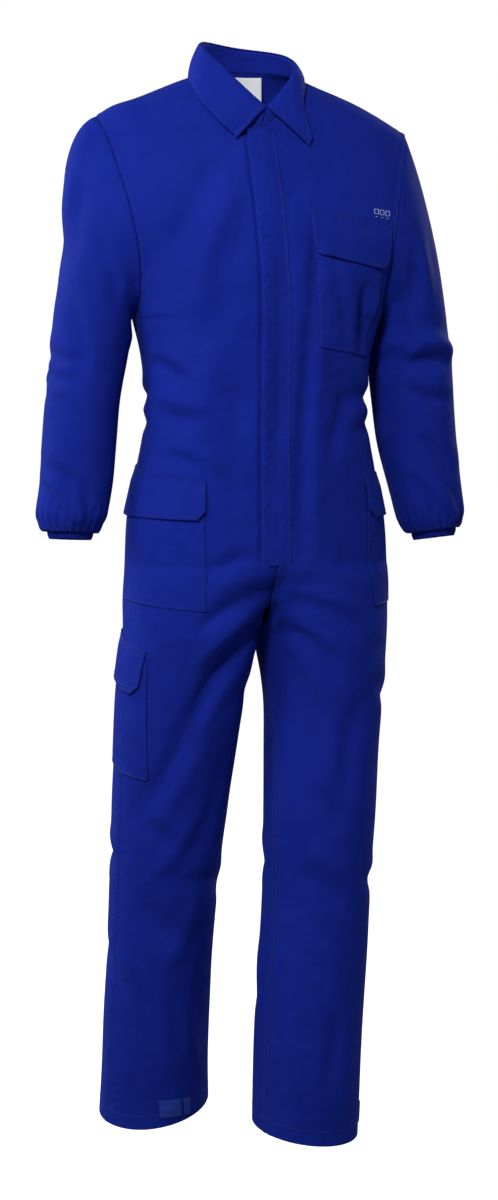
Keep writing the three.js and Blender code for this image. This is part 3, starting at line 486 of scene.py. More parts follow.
def sleeve_rings(arm, place, angle):
    """Rings round the arm at fractional rows of its table: ellipses that rise towards the outside and the
    back. Towards the wrist they ripple, with gathers of uneven height."""
    rows = np.arange(len(arm["height"]))
    row = {name: smooth_through(rows, values, place) for name, values in arm.items()}
    gathered = ease(place, WRIST_GATHERS["fade_from"], WRIST_GATHERS["fade_to"])
    uneven = 0.65 + 0.35 * np.sin(3 * angle + 1) * np.cos(5 * angle)
    wave = WRIST_GATHERS["height"] * gathered * uneven * np.sin(WRIST_GATHERS["count"] * angle)
    x = -(row["wide"] + wave) * np.cos(angle)
    y = -(row["deep"] + wave) * np.sin(angle)
    return np.stack([row["x"] + x, row["y"] + y, row["height"] + row["tip_x"] * x + row["tip_y"] * y], -1)


for side, sign in SIDES.items():
    arm = table(ARM, SLEEVES[side])
    t = np.linspace(0, 1, CAP_STEPS)[:-1, None, None]
    rest = 1 - t
    start = closed_curve(ARMHOLE, arm_places)
    top, below = (sleeve_rings(arm, np.array([[place]]), arm_angles) for place in (0, 1))
    reach = np.linalg.norm(top - start, axis=-1)
    over = (1 - np.cos(arm_angles)) / 2
    out, drop = (UNDER[k] + (CAP[side][k] - UNDER[k]) * over for k in (0, 1))
    depart = np.stack([out * reach, 0 * reach, -drop * reach], -1)
    arrive = (below - top) / np.linalg.norm(below - top, axis=-1, keepdims=True) * reach[..., None] * ARRIVE
    cap = (
        rest**2 * (1 + 2 * t) * start + t**2 * (3 - 2 * t) * top + t * rest * (rest * depart - t * arrive)
    )
    near = np.exp(-(((cap[..., 2] - SINK["height"]) / SINK["half"]) ** 2))
    cap[..., 0] -= SINK[side] * over**4 * near * ease(t[..., 0], 0, 0.5)
    places = np.concatenate([np.linspace(0, 5, 56), np.linspace(5, 9, 29)[1:]])[:, None]
    sleeve = np.concatenate([cap, sleeve_rings(arm, places, arm_angles)])
    nets[f"sleeve_{side}"] = stand(sleeve * (sign, 1, 1))

# Folds and creases of the worn cloth. Each runs between two places, given across and up as seen from an
# azimuth round the suit, bows to one side, and sinks or swells by its depth over its half width, with a lip
# beside it.
SEEN = -15  # the photograph's side
BACK = 180
LEFT = 75
RIGHT = -105
BODY_FOLDS = [
    # each row: view, across and up of both places, bow, half width, depth
    # chest and waist
    [SEEN, 80, 1320, 79, 1238, 2, 9, -5],
    [SEEN, 79, 1238, 64, 890, -6, 11, -6.5],
    [SEEN, 36, 1330, 28, 1010, 4, 14, -4],
    [SEEN, -60, 1430, -135, 1300, 10, 23, -8],
    [SEEN, -112, 1479, -58, 1445, 5, 16, -5],
    [SEEN, -40, 1380, -80, 1210, -8, 21, 6.5],
    [SEEN, -20, 1470, -75, 1405, 6, 12, -4],
    [SEEN, 112, 1255, 126, 1184, 3, 9, -5],
    [SEEN, 158, 1273, 148, 1177, -3, 9, -6.5],
    [SEEN, 150, 1250, 152, 1170, 2, 12, -8],
    [SEEN, 105, 1160, 128, 1060, 5, 13, -5],
    [SEEN, 140, 1120, 105, 1015, -6, 11, -5.5],
    [SEEN, -150, 1155, -100, 1121, 5, 11, -6],
    [SEEN, -140, 1105, -80, 1095, 3, 12, 4.5],
    [SEEN, -130, 1081, -62, 1072, -4, 11, -6],
    [SEEN, -120, 1022, -84, 1007, 3, 9, -5.5],
    [SEEN, -84, 1035, -50, 1000, 3, 9, 5],
    [SEEN, -60, 1190, -95, 1020, 8, 18, 4],
    [SEEN, -10, 1180, -30, 960, -6, 16, -4],
    # crotch and thighs
    [SEEN, -2, 888, -75, 850, -6, 10, -6.5],
    [SEEN, 32, 842, -78, 786, -8, 10, -8.5],
    [SEEN, 5, 805, -80, 742, -6, 12, 8],
    [SEEN, 24, 812, -82, 674, -12, 11, -11],
    [SEEN, -18, 756, -90, 650, -6, 11, -6.5],
    [SEEN, -85, 672, -170, 520, 8, 16, -8],
    [SEEN, -38, 632, -95, 468, 8, 14, -6.5],
    [SEEN, -60, 560, -150, 430, 8, 13, 5],
    [SEEN, 38, 842, 118, 846, 5, 10, -5],
    [SEEN, 44, 824, 143, 784, 8, 10, -5.5],
    [SEEN, 45, 800, 130, 745, 6, 11, 3],
    [SEEN, 44, 784, 118, 706, 8, 11, -6],
    [SEEN, 48, 735, 96, 610, 8, 12, -5],
    [SEEN, 150, 700, 120, 520, -8, 16, -5],
    # knees, shins and hems
    [SEEN, -165, 520, -110, 470, 5, 12, -5],
    [SEEN, -160, 400, -95, 340, -6, 19, -8],
    [SEEN, -80, 420, -130, 300, 6, 13, 4],
    [SEEN, -170, 300, -140, 170, 4, 12, -5],
    [SEEN, -100, 260, -85, 140, -4, 11, 4],
    [SEEN, 55, 450, 125, 400, 6, 18, -8],
    [SEEN, 70, 560, 130, 500, 6, 13, -5],
    [SEEN, 60, 350, 100, 280, 6, 12, -5],
    [SEEN, 40, 240, 62, 130, -4, 12, 4],
    [SEEN, 110, 260, 98, 150, 4, 12, -5],
    # back
    [BACK, -80, 1128, 60, 1120, 8, 13, -8],
    [BACK, -100, 1100, 20, 1104, -6, 11, 5],
    [BACK, -90, 1080, 80, 1086, -8, 11, -6.5],
    [BACK, 10, 1055, 120, 1040, 5, 11, -5],
    [BACK, -30, 790, -110, 720, -8, 11, -9],
    [BACK, -25, 760, -95, 650, -8, 12, -6.5],
    [BACK, 30, 790, 105, 730, 8, 11, -9],
    [BACK, 25, 755, 90, 640, 8, 12, -6.5],
    [BACK, -110, 470, -40, 430, 6, 14, -8],
    [BACK, -105, 430, -50, 395, 5, 11, -5],
    [BACK, 80, 460, 170, 430, -6, 14, -8],
    [BACK, 90, 420, 165, 400, -5, 11, -5],
    [BACK, 105, 1400, 70, 1220, 8, 21, 6.5],
    [BACK, -105, 1390, -75, 1220, -8, 21, 6.5],
    [BACK, 20, 1420, 30, 1200, 6, 18, -4],
    [BACK, -35, 1410, -25, 1230, -5, 16, -4],
    [BACK, 60, 980, 110, 900, 6, 14, -4],
    [BACK, -60, 970, -115, 905, -6, 14, -4],
    # sides
    [LEFT, -50, 1105, 60, 1090, 6, 11, -6],
    [LEFT, -60, 1060, 40, 1075, -5, 11, -4.5],
    [LEFT, -40, 700, 40, 640, 8, 14, -4.5],
    [LEFT, -50, 430, 30, 400, 6, 13, -5],
    [RIGHT, -60, 1100, 50, 1112, -6, 11, -6],
    [RIGHT, -40, 1070, 60, 1060, 5, 11, -4.5],
    [RIGHT, -60, 470, 20, 440, 6, 13, -5],
    [RIGHT, -40, 330, 30, 250, 6, 14, -4],
]
SLEEVE_FOLDS = [
    [SEEN, -205, 1400, -168, 1272, 8, 11, -11],
    [SEEN, -222, 1330, -190, 1235, 6, 11, -6.5],
    [SEEN, -250, 1420, -265, 1320, -5, 11, 6.5],
    [SEEN, -262, 1250, -240, 1130, 8, 12, -5.5],
    [SEEN, -300, 1175, -238, 1150, -6, 10, -4],
    [SEEN, -305, 1140, -245, 1128, -4, 9, -3.5],
    [SEEN, -290, 1105, -230, 1060, 6, 11, -3],
    [SEEN, -285, 1010, -225, 950, 6, 11, -8],
    [SEEN, -300, 985, -262, 935, 3, 8, -5],
    [SEEN, -250, 990, -240, 930, 3, 8, 5],
    [SEEN, 208, 1148, 268, 1153, 4, 10, -9.5],
    [SEEN, 225, 1190, 285, 1168, 5, 12, 8],
    [SEEN, 215, 1120, 275, 1100, -5, 10, -6.5],
    [SEEN, 215, 1330, 222, 1225, 5, 11, -8],
    [SEEN, 232, 1345, 246, 1255, -4, 10, 5],
    [SEEN, 190, 1280, 206, 1180, 5, 11, -6.5],
    [SEEN, 230, 1050, 280, 990, 6, 11, -5.5],
    [SEEN, 225, 985, 262, 930, 4, 9, -6.5],
    [SEEN, 262, 975, 285, 925, 3, 8, 5],
    [BACK, -295, 1150, -230, 1165, 6, 11, -8],
    [BACK, -300, 1115, -235, 1120, -5, 10, -6],
    [BACK, -280, 1300, -240, 1230, 6, 12, -5],
    [BACK, -290, 990, -245, 930, 4, 10, -5],
    [BACK, 230, 1165, 295, 1150, 6, 11, -8],
    [BACK, 235, 1120, 300, 1110, 5, 10, -6],
    [BACK, 240, 1320, 285, 1240, -6, 12, -5],
    [BACK, 250, 985, 290, 935, 4, 10, -5],
    [LEFT, -40, 1170, 50, 1150, 5, 11, -5],
    [RIGHT, -50, 1150, 40, 1170, 5, 11, -5],
]
FOLD_EDGE = 0.25  # a fold fades out where the cloth turns this far from the view
END_TAPER = 0.75
LIP = 0.35
LIP_AT = 1.7
SAME = 0.05  # points nearer than this are one
SLACK = {"broad": 0.55, "narrow": 0.35}
OWN_FOLDS = (4, 16)  # the rows over which a sleeve's own folds take over from the body's
FACING = {
    "front_left": 1,
    "back_left": -1,
    "front_right": -1,
    "back_right": 1,
    "sleeve_left": -1,
    "sleeve_right": 1,
}


def fold_depth(folds, points, normals):
    """How far the folds move each point along its normal: for each fold a bell curve of the distance from
    its bowed line, less a smaller bell beside it, faded at its ends and where the cloth turns from view."""
    total = np.zeros(points.shape[:-1])
    for view, x1, z1, x2, z2, bow, width, depth in folds:
        way = np.radians(view)
        facing = normals[..., 0] * np.sin(way) - normals[..., 1] * np.cos(way)
        across = points[..., 0] * np.cos(way) + points[..., 1] * np.sin(way) - x1
        up = points[..., 2] - z1
        dx, dz = x2 - x1, z2 - z1
        length = np.hypot(dx, dz)
        t = (across * dx + up * dz) / length**2
        kept = np.clip(t, 0, 1)
        beyond = (t - kept) * length
        aside = (up * dx - across * dz) / length - bow * (1 - (2 * kept - 1) ** 2)
        away = np.sign(aside) * np.hypot(aside, beyond) / width
        bell = np.exp(-(away**2)) - LIP * np.exp(-((away - LIP_AT) ** 2))
        taper = 1 - END_TAPER * np.abs(2 * kept - 1) ** 2.5
        total += depth * ease(facing, 0, FOLD_EDGE) * taper * bell
    return total


def slack(points):
    """The cloth's soft unevenness, under a millimetre: slow waves of the place, multiplied in pairs."""
    x, y, z = np.moveaxis(points, -1, 0)
    broad = np.sin(x / 31 + z / 83) * np.sin(z / 57 - y / 40)
    narrow = np.sin(x / 17 - y / 23 + 2) * np.sin(z / 29 + x / 60)
    return SLACK["broad"] * broad + SLACK["narrow"] * narrow


def net_normals(named_nets):
    """Outward normals of all the nets' points. Each face's normal is added to its corners, and points that
    meet at a seam share one sum."""
    corners, sums = [], []
    for name, net in named_nets.items():
        ring = np.concatenate([net, net[:, :1]], 1) if name.startswith("sleeve") else net
        faces = np.cross(ring[1:, 1:] - ring[:-1, :-1], ring[1:, :-1] - ring[:-1, 1:])
        faces *= FACING[name] / np.maximum(np.linalg.norm(faces, axis=-1, keepdims=True), 1e-9)
        total = np.zeros_like(ring)
        total[:-1, :-1] += faces
        total[1:, :-1] += faces
        total[:-1, 1:] += faces
        total[1:, 1:] += faces
        if ring is not net:
            total[:, 0] += total[:, -1]
            total = total[:, :-1]
        corners.append(net.reshape(-1, 3))
        sums.append(total.reshape(-1, 3))
    keys = np.round(np.concatenate(corners) / SAME).astype(np.int64)
    _, group = np.unique(keys, axis=0, return_inverse=True)
    shared = np.zeros((group.max() + 1, 3))
    np.add.at(shared, group.ravel(), np.concatenate(sums))
    normals = shared[group.ravel()]
    normals /= np.linalg.norm(normals, axis=-1, keepdims=True)
    result, start = {}, 0
    for name, net in named_nets.items():
        count = net.shape[0] * net.shape[1]
        result[name] = normals[start : start + count].reshape(net.shape)
        start += count
    return result


plain_normals = net_normals(nets)
for name, net in nets.items():
    facing = plain_normals[name]
    depth = fold_depth(BODY_FOLDS, net, facing)
    if name.startswith("sleeve"):
        own = ease(np.arange(len(net)), *OWN_FOLDS)[:, None]
        depth = depth * (1 - own) + fold_depth(SLEEVE_FOLDS, net, facing) * own
    nets[name] = net + facing * (depth + slack(net))[..., None]
normals = net_normals(nets)
smooth_nets = dict(nets)

# A felled seam: the edges of two panels are folded into each other, which leaves a fine groove and beside
# it, on one panel, a flat raised band that two rows of stitches hold.
GROOVE = {"depth": 0.9, "width": 1.6}
ARMHOLE_GROOVE = 0.4  # the share of that depth along the armholes
# Beside the placket's free edge the cloth lies in a narrow hollow.
HOLLOW = {"at": 23.0, "half": 2.3, "depth": 3.8, "from": 880, "to": 1470, "fade": 8}
BAND = {"height": 0.7, "width": 8.5, "edge": 1.2}
PUCKER_REACH = 9  # how far from a seam its puckers fade out
NO_SEAM = 1e3  # a distance at which a seam has no effect


def along(net, axis):
    """The distance of each of a net's points from its first, along rows or columns."""
    steps = np.linalg.norm(np.diff(net, axis=axis), axis=-1)
    start = np.zeros_like(steps[:, :1] if axis else steps[:1])
    return np.concatenate([start, np.cumsum(steps, axis)], axis)


def seam_lift(distance, banded):
    """How far a seam moves the cloth at a distance from it: a groove, and the raised band on one side."""
    groove = -GROOVE["depth"] * np.exp(-((distance / GROOVE["width"]) ** 2))
    band = BAND["height"] * (1 - ease(distance, BAND["width"] - BAND["edge"], BAND["width"])) if banded else 0
    return groove + band


# Which edges of a net have the band: the first and last columns, and the last row.
BANDED = {
    "front_left": ("side", "inner", "top"),
    "front_right": ("side",),
    "back_left": ("inner",),
    "back_right": ("inner",),
}
seam_weights = {}
for name in list(nets):
    net = nets[name]
    if name.startswith("sleeve"):
        down = along(net, 0)
        nets[name] = net + normals[name] * (ARMHOLE_GROOVE * seam_lift(down, False))[..., None]
        seam_weights[name] = np.exp(-down / PUCKER_REACH)
        continue
    across, up = along(net, 1), along(net, 0)
    side, top = across[:, -1:] - across, up[-1:] - up
    inner = across.copy()
    inner[FIRST_YOKE_ROW + int(YOKE_TURN * YOKE_ROWS) :] = NO_SEAM
    lift = seam_lift(side, "side" in BANDED[name]) + seam_lift(inner, "inner" in BANDED[name])
    lift += seam_lift(top, "top" in BANDED[name])
    if name == "front_right":
        height = net[..., 2]
        along_placket = ease(height, HOLLOW["from"] - HOLLOW["fade"], HOLLOW["from"])
        along_placket *= 1 - ease(height, HOLLOW["to"], HOLLOW["to"] + HOLLOW["fade"])
        lift -= HOLLOW["depth"] * along_placket * np.exp(-(((across - HOLLOW["at"]) / HOLLOW["half"]) ** 2))
    nets[name] = net + normals[name] * lift[..., None]
    seam_weights[name] = np.exp(-np.minimum(np.minimum(side, inner), np.minimum(top, up)) / PUCKER_REACH)


def net_mesh(name, net, outward, closed=False):
    """A mesh of four-sided faces on a net's rows and columns, with the cloth's own metres as its UV map: u
    across its rows and v up its columns. A closed net joins its last column to its first."""
    ring = np.concatenate([net, net[:, :1]], 1) if closed else net
    rows, columns = net.shape[:2]
    r, c = np.meshgrid(np.arange(rows - 1), np.arange(ring.shape[1] - 1), indexing="ij")
    around = [(r, c), (r, c + 1), (r + 1, c + 1), (r + 1, c)][:: 1 if outward > 0 else -1]
    quads = np.stack([row * columns + column % columns for row, column in around], -1).reshape(-1, 4)
    mesh = bpy.data.meshes.new(name)
    points = (net - (0, 0, SHOULDERS)) / 1000
    mesh.from_pydata(points.reshape(-1, 3).tolist(), [], quads.tolist())
    flat = np.stack([along(ring, 1) - along(ring, 1)[:, -1:] / 2, along(ring, 0)], -1) / 1000
    loops = np.stack([flat[row, column] for row, column in around], -2)
    mesh.uv_layers.new(name="cloth").data.foreach_set("uv", loops.ravel())
    mesh.polygons.foreach_set("use_smooth", np.ones(len(quads), bool))
    return mesh


def cloth_piece(
    node, net, outward, seam, thickness, cut, rests_on, finish=twill, slot="blue_twill", closed=False
):
    """One piece of cloth: its net as a mesh with a wall, its finish, and the frame's node that it stands for.
    cut, its flat size in metres and its area in square metres, is not used."""
    mesh = net_mesh(node + "_cloth", net, outward, closed)
    weight = mesh.attributes.new("seam", "FLOAT", "POINT")
    weight.data.foreach_set("value", np.broadcast_to(seam, net.shape[:2]).astype(np.float32).ravel())
    mesh.materials.append(finish)
    piece = bpy.data.objects.new(mesh.name, mesh)
    bpy.context.scene.collection.objects.link(piece)
    wall = piece.modifiers.new("wall", "SOLIDIFY")
    wall.thickness = thickness / 1000
    wall.offset = -1
    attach(piece, "root")
    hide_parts(node)


PANEL_WALL = 1.5
BODY_CUTS = {
    # name: width and length in metres and area in square metres, and what it hangs from
    "front_left": (((0.36, 1.50), 0.361), ["back_left_cloth"]),
    "front_right": (((0.36, 1.50), 0.361), ["back_right_cloth"]),
    "back_left": (((0.38, 1.56), 0.369), ["front_left_cloth"]),
    "back_right": (((0.38, 1.56), 0.369), ["front_right_cloth"]),
    "sleeve_left": (((0.44, 0.62), 0.172), ["front_left_cloth", "back_left_cloth"]),
    "sleeve_right": (((0.44, 0.62), 0.172), ["front_right_cloth", "back_right_cloth"]),
}
for name, (cut, rests_on) in BODY_CUTS.items():
    tube = name.startswith("sleeve")
    cloth_piece(name, nets[name], FACING[name], seam_weights[name], PANEL_WALL, cut, rests_on, closed=tube)

# Elastic cuffs: narrow bands of the same twill drawn into fine gathers, with a third of their height hidden
# inside the sleeve ends.
CUFF = {"gathers": 34, "wave": 1.5, "inset": 1.8, "height": 26, "hidden": 9, "round": 3.2, "square": 2.6}
CUFF_STEPS = 14
CUFF_WALL = 1.2
CUFF_PUCKERS = 0.6
CUFF_CUT = ((0.243, 0.026), 0.0063)
for side, sign in SIDES.items():
    arm = table(ARM, SLEEVES[side])
    angle = np.linspace(0, 2 * np.pi, CUFF["gathers"] * 12, endpoint=False)[None]
    down = np.linspace(0, 1, CUFF_STEPS)[:, None]
    shown = ease(down * CUFF["height"], CUFF["hidden"] - 2, CUFF["hidden"] + 6)
    uneven = 0.75 + 0.25 * np.sin(4 * angle + 2 * down) * np.sin(7 * angle)
    waves = np.sin(CUFF["gathers"] * angle + 0.5 * np.sin(3 * angle) + 0.6 * np.sin(5 * down + angle))
    rounded = -CUFF["round"] * (2 * np.abs(down - 0.5)) ** CUFF["square"]
    push = CUFF["wave"] * (0.5 + 0.5 * shown) * uneven * waves + rounded - CUFF["inset"]
    x = -(arm["wide"][-1] + push) * np.cos(angle)
    y = -(arm["deep"][-1] + push) * np.sin(angle)
    tip = arm["tip_x"][-1] * x + arm["tip_y"][-1] * y
    z = arm["height"][-1] + tip + CUFF["hidden"] - CUFF["height"] * down
    cuff = stand(np.stack([(arm["x"][-1] + x) * sign, arm["y"][-1] + y, z], -1))
    inside_of = [f"sleeve_{side}_cloth"]
    outward = FACING[f"sleeve_{side}"]
    cloth_piece(f"cuff_{side}", cuff, outward, CUFF_PUCKERS, CUFF_WALL, CUFF_CUT, inside_of, closed=True)

# The collar: a stand sewn to the neckline and a fall that rolls over it, both of two layers of twill, closed
# to the left of the centre. The fall's free edge rests on the shoulders, and its points lie on the chest.
ROLL = {"width": 66, "shift": -6, "depth": 61, "middle": 1, "back": 1606, "drop": 98, "tilt": 0.1}
CLOSING = 13  # how far the roll's front lies to the left
FALL = table(
    "angle below left right",
    [
        [0, 5.8, 70, 40],
        [8, 6.15, 70, 41.5],
        [22, 6.8, 46, 43.5],
        [45, 7.8, 17, 40.5],
        [67, 8.95, 6, 30],
        [90, 10, 4, 22.5],
        [112, 9, 6, 20],
        [135, 8, 10, 18],
        [157, 7, 14, 16],
        [180, 6, 15, 15],
    ],
)
YOKE_UNITS = 10  # the table's below column counts the yoke's rows in tenths
STAND_OFF = 6.0
COLLAR_GAP = 0.0018
COLLAR_STEPS = 220
FULLNESS = 2.5
BEND = {"up": 2.8, "out": 4, "down": 2}
STAND_SWELL = 1.2
STAND_PUCKERS = 0.3
FALL_KEYS = [0, 0.1, 0.4, 0.7, 1]  # where along the fall its roll, its bend, its thirds and its free edge lie
COLLAR_WALL = 1.6
STAND_CUT = ((0.44, 0.036), 0.0143)
FALL_CUT = ((0.50, 0.08), 0.0242)

# The cloth round each half as one net: from the centre front or inseam over the side seam to the centre back.
cloth, cloth_normals, reach = {}, {}, {}
for side in SIDES:
    for store, parts in ((cloth, smooth_nets), (cloth_normals, normals)):
        front, back = parts[f"front_{side}"], parts[f"back_{side}"]
        store[side] = np.concatenate([front, back[:, -2::-1]], 1)
    reach[side] = along(cloth[side], 1)
ROW_NUMBERS, COLUMN_NUMBERS = (np.arange(n) for n in cloth["left"].shape[:2])
OTHER = {"left": "right", "right": "left"}


def read_net(net, row, column):
    """A net's values at fractional rows and columns, in straight steps between its points."""
    row, column = np.broadcast_arrays(row, column)
    r = np.clip(np.floor(row).astype(int), 0, net.shape[0] - 2)
    c = np.clip(np.floor(column).astype(int), 0, net.shape[1] - 2)
    up, across = (row - r)[..., None], (column - c)[..., None]
    low = net[r, c] * (1 - across) + net[r, c + 1] * across
    high = net[r + 1, c] * (1 - across) + net[r + 1, c + 1] * across
    return low * (1 - up) + high * up


neck_rows = FIRST_YOKE_ROW + np.arange(int(YOKE_TURN * YOKE_ROWS), YOKE_ROWS + 1)
half_rings = [
    np.concatenate([nets[f"front_{side}"][neck_rows, 0], nets[f"back_{side}"][neck_rows[-2::-1], 0]])
    for side in ("left", "right")
]
neck_ring = np.concatenate([half_rings[0], half_rings[1][-2::-1]])
share = COLLAR_GAP + (1 - 2 * COLLAR_GAP) * np.linspace(0, 1, COLLAR_STEPS)
turn = share * 2 * np.pi
outwards = np.stack([np.sin(turn), -np.cos(turn), 0 * turn], -1)
base = read_net(neck_ring[:, None].repeat(2, 1), share * (len(neck_ring) - 1), 0 * share)
roll_x = ROLL["width"] * np.sin(turn)
roll_dip = front_dip(turn)
roll = np.stack(
    [
        roll_x + ROLL["shift"] + CLOSING * roll_dip**2,
        ROLL["middle"] - ROLL["depth"] * np.cos(turn),
        ROLL["back"] - ROLL["drop"] * roll_dip - ROLL["tilt"] * roll_x,
    ],
    -1,
)
roll = stand(roll)
half_turn = np.minimum(turn, 2 * np.pi - turn)
free = []
for own_turn, half in zip(turn, half_turn):
    side = "left" if own_turn < np.pi else "right"
    degrees = np.degrees(half)
    row = FIRST_YOKE_ROW + smooth_through(FALL["angle"], FALL["below"], degrees) / YOKE_UNITS * YOKE_ROWS
    distance = smooth_through(FALL["angle"], FALL[side], degrees)
    lengths = read_net(reach[side][..., None], row, COLUMN_NUMBERS)[:, 0]
    column = np.interp(distance if half < np.pi / 2 else lengths[-1] - distance, lengths, COLUMN_NUMBERS)
    facing = read_net(cloth_normals[side], row, column)
    free.append(read_net(cloth[side], row, column) + facing / np.linalg.norm(facing) * STAND_OFF)
free = np.array(free)

up = np.linspace(0, 1, 12)[:, None, None]
stand_net = base * (1 - up) + roll * up + outwards * np.sin(up * np.pi) * STAND_SWELL
top = roll + (0, 0, BEND["up"])
over = top + outwards * BEND["out"] - (0, 0, BEND["down"])
thirds = [over + (free - over) * t + outwards * FULLNESS * np.sin(t * np.pi) for t in (1 / 3, 2 / 3)]
fall_places = np.concatenate([np.linspace(0, 0.4, 14), np.linspace(0.4, 0.93, 14)[1:], [0.95, 0.97, 0.99, 1]])
fall_net = smooth_through(FALL_KEYS, np.array([top, over, *thirds, free]), fall_places)
fall_up, fall_across = along(fall_net, 0), along(fall_net, 1)
collar_edge = np.minimum(np.minimum(fall_across, fall_across[:, -1:] - fall_across), fall_up[-1:] - fall_up)
fall_rests_on = ["collar_stand_cloth", "front_left_cloth", "front_right_cloth"]
cloth_piece("collar_stand", stand_net, 1, STAND_PUCKERS, COLLAR_WALL, STAND_CUT, ["back_left_cloth"])
fall_puckers = np.exp(-collar_edge / PUCKER_REACH)
cloth_piece("collar_fall", fall_net, -1, fall_puckers, COLLAR_WALL, FALL_CUT, fall_rests_on)

# Thread: the sewing is polyester thread in the cloth's colour, a little darker, in lock stitches
# about 3 mm long.
STITCH = {"pitch": 3.2, "length": 2.6, "width": 0.7, "height": 0.35}
THREAD_COLOUR = (0.0045, 0.011, 0.14, 1)
STRANDS = {"noise": 1500.0, "height": 0.0003, "shades": (0.75, 1.25)}
SAMPLE = 0.8  # distance between the places at which a row of stitches is read from the cloth


def thread_material(name, colour, roughness):
    """Thread: fine twisted strands, some darker and some lighter than its colour, and a little raised."""
    material = bpy.data.materials.new(name)
    material.use_nodes = True
    tree = material.node_tree
    shader = tree.nodes["Principled BSDF"]
    place = add_node(tree, "ShaderNodeTexCoord").outputs["Object"]
    noise = add_node(tree, "ShaderNodeTexNoise", {"Vector": place, "Scale": STRANDS["noise"], "Detail": 1.0})
    strands = noise.outputs["Fac"]
    dark, pale = ([min(1, shade * v) for v in colour[:3]] + [1] for shade in STRANDS["shades"])
    mixed = add_node(tree, "ShaderNodeMix", {0: strands, 6: dark, 7: pale}, data_type="RGBA")
    bump = add_node(tree, "ShaderNodeBump", {"Height": strands, "Distance": STRANDS["height"]})
    tree.links.new(mixed.outputs[2], shader.inputs["Base Color"])
    tree.links.new(bump.outputs["Normal"], shader.inputs["Normal"])
    shader.inputs["Roughness"].default_value = roughness
    return material


def grid_normals(net, outward):
    """Outward normals of one net, from the directions of its rows and columns."""
    across, up = np.gradient(net, axis=1), np.gradient(net, axis=0)
    normal = np.cross(across, up) * outward
    return normal / np.maximum(np.linalg.norm(normal, axis=-1, keepdims=True), 1e-9)


def sewn_row(net, facing, row, column):
    """Points and normals along a row of stitches, which runs straight from each row and column to
    the next."""
    points = read_net(net, np.asarray(row, float), np.asarray(column, float))
    gone = np.concatenate([[0], np.cumsum(np.linalg.norm(np.diff(points, axis=0), axis=1))])
    at = np.arange(0, gone[-1], SAMPLE)
    rows, columns = (np.interp(at, gone, np.broadcast_to(a, gone.shape)) for a in (row, column))
    return read_net(net, rows, columns), read_net(facing, rows, columns)


def stitches(name, rows, finish, pitch=STITCH["pitch"], length=STITCH["length"]):
    """Rows of stitches as one mesh. Every stitch is the same small spindle of three sides, laid along its row
    at equal steps, and raised by its height from the cloth."""
    ring = np.array([[0, -0.5, 0.1], [0, 0, 1], [0, 0.5, 0.1]])
    spindle = np.concatenate([ring - (0.3, 0, 0), ring + (0.3, 0, 0), [[-0.5, 0, 0], [0.5, 0, 0]]])
    spindle *= (length, STITCH["width"], STITCH["height"])
    ends = [(6, 1, 0), (6, 2, 1), (6, 0, 2), (7, 3, 4), (7, 4, 5), (7, 5, 3)]
    sides = [(0, 1, 4), (0, 4, 3), (1, 2, 5), (1, 5, 4), (2, 0, 3), (2, 3, 5)]
    faces = np.array(ends + sides)
    points = []
    for path, facing in rows:
        gone = np.concatenate([[0], np.cumsum(np.linalg.norm(np.diff(path, axis=0), axis=1))])
        at = np.arange(pitch / 2, gone[-1], pitch)
        read = lambda values, where: np.stack([np.interp(where, gone, v) for v in values.T], -1)
        middle, up = read(path, at), read(facing, at)
        ahead = read(path, at + length / 4) - read(path, at - length / 4)
        ahead /= np.maximum(np.linalg.norm(ahead, axis=1, keepdims=True), 1e-9)
        axes = np.stack([ahead, np.cross(up, ahead), up], 1)
        points.append(middle[:, None] + np.einsum("vk,nkx->nvx", spindle, axes))
    points = np.concatenate(points)
    mesh = bpy.data.meshes.new(name)
    starts = np.arange(len(points))[:, None, None] * len(spindle)
    vertices = (points.reshape(-1, 3) - (0, 0, SHOULDERS)) / 1000
    mesh.from_pydata(vertices.tolist(), [], (faces + starts).reshape(-1, 3).tolist())
    mesh.materials.append(finish)
    piece = bpy.data.objects.new(name, mesh)
    bpy.context.scene.collection.objects.link(piece)
    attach(piece, "root")


blue_thread = thread_material("blue_thread", THREAD_COLOUR, roughness=0.6)

# Seams of the body: two rows of stitches beside each felled seam, one beside the armholes and round each hem,
# and on the sleeves two along the underarm seam and one above the cuffs.
SEAM_ROWS = (1.9, 7.2)
ARMHOLE_ROW = 5.0
HEM_ROW = 20.0
FRONT_SEAM_TOP = 895  # hidden under the placket's foot
SLEEVE_SEAM_COLUMNS = (0.8, 3.2)
WRIST_ROW = 12.0
ROW_END = len(nets["front_left"]) - 1
NECK_ROW = FIRST_YOKE_ROW + int(YOKE_TURN * YOKE_ROWS)


def beside_edge(name, distance, first, last, outer):
    """A row of stitches up a panel, at a distance from its side seam where outer, or else from its inner
    edge."""
    net = nets[name]
    across = along(net, 1)
    rows = np.arange(first, last + 1)
    columns = [
        np.interp(across[row, -1] - distance if outer else distance, across[row], np.arange(net.shape[1]))
        for row in rows
    ]
    return sewn_row(net, normals[name], rows, columns)


def across_net(net, facing, height, from_top):
    """A row of stitches across a net, at a height above its first row, or below its last where from_top."""
    up = along(net, 0)
    columns = np.arange(net.shape[1])
    rows = [
        np.interp(up[-1, column] - height if from_top else height, up[:, column], np.arange(len(net)))
        for column in columns
    ]
    return sewn_row(net, facing, rows, columns)


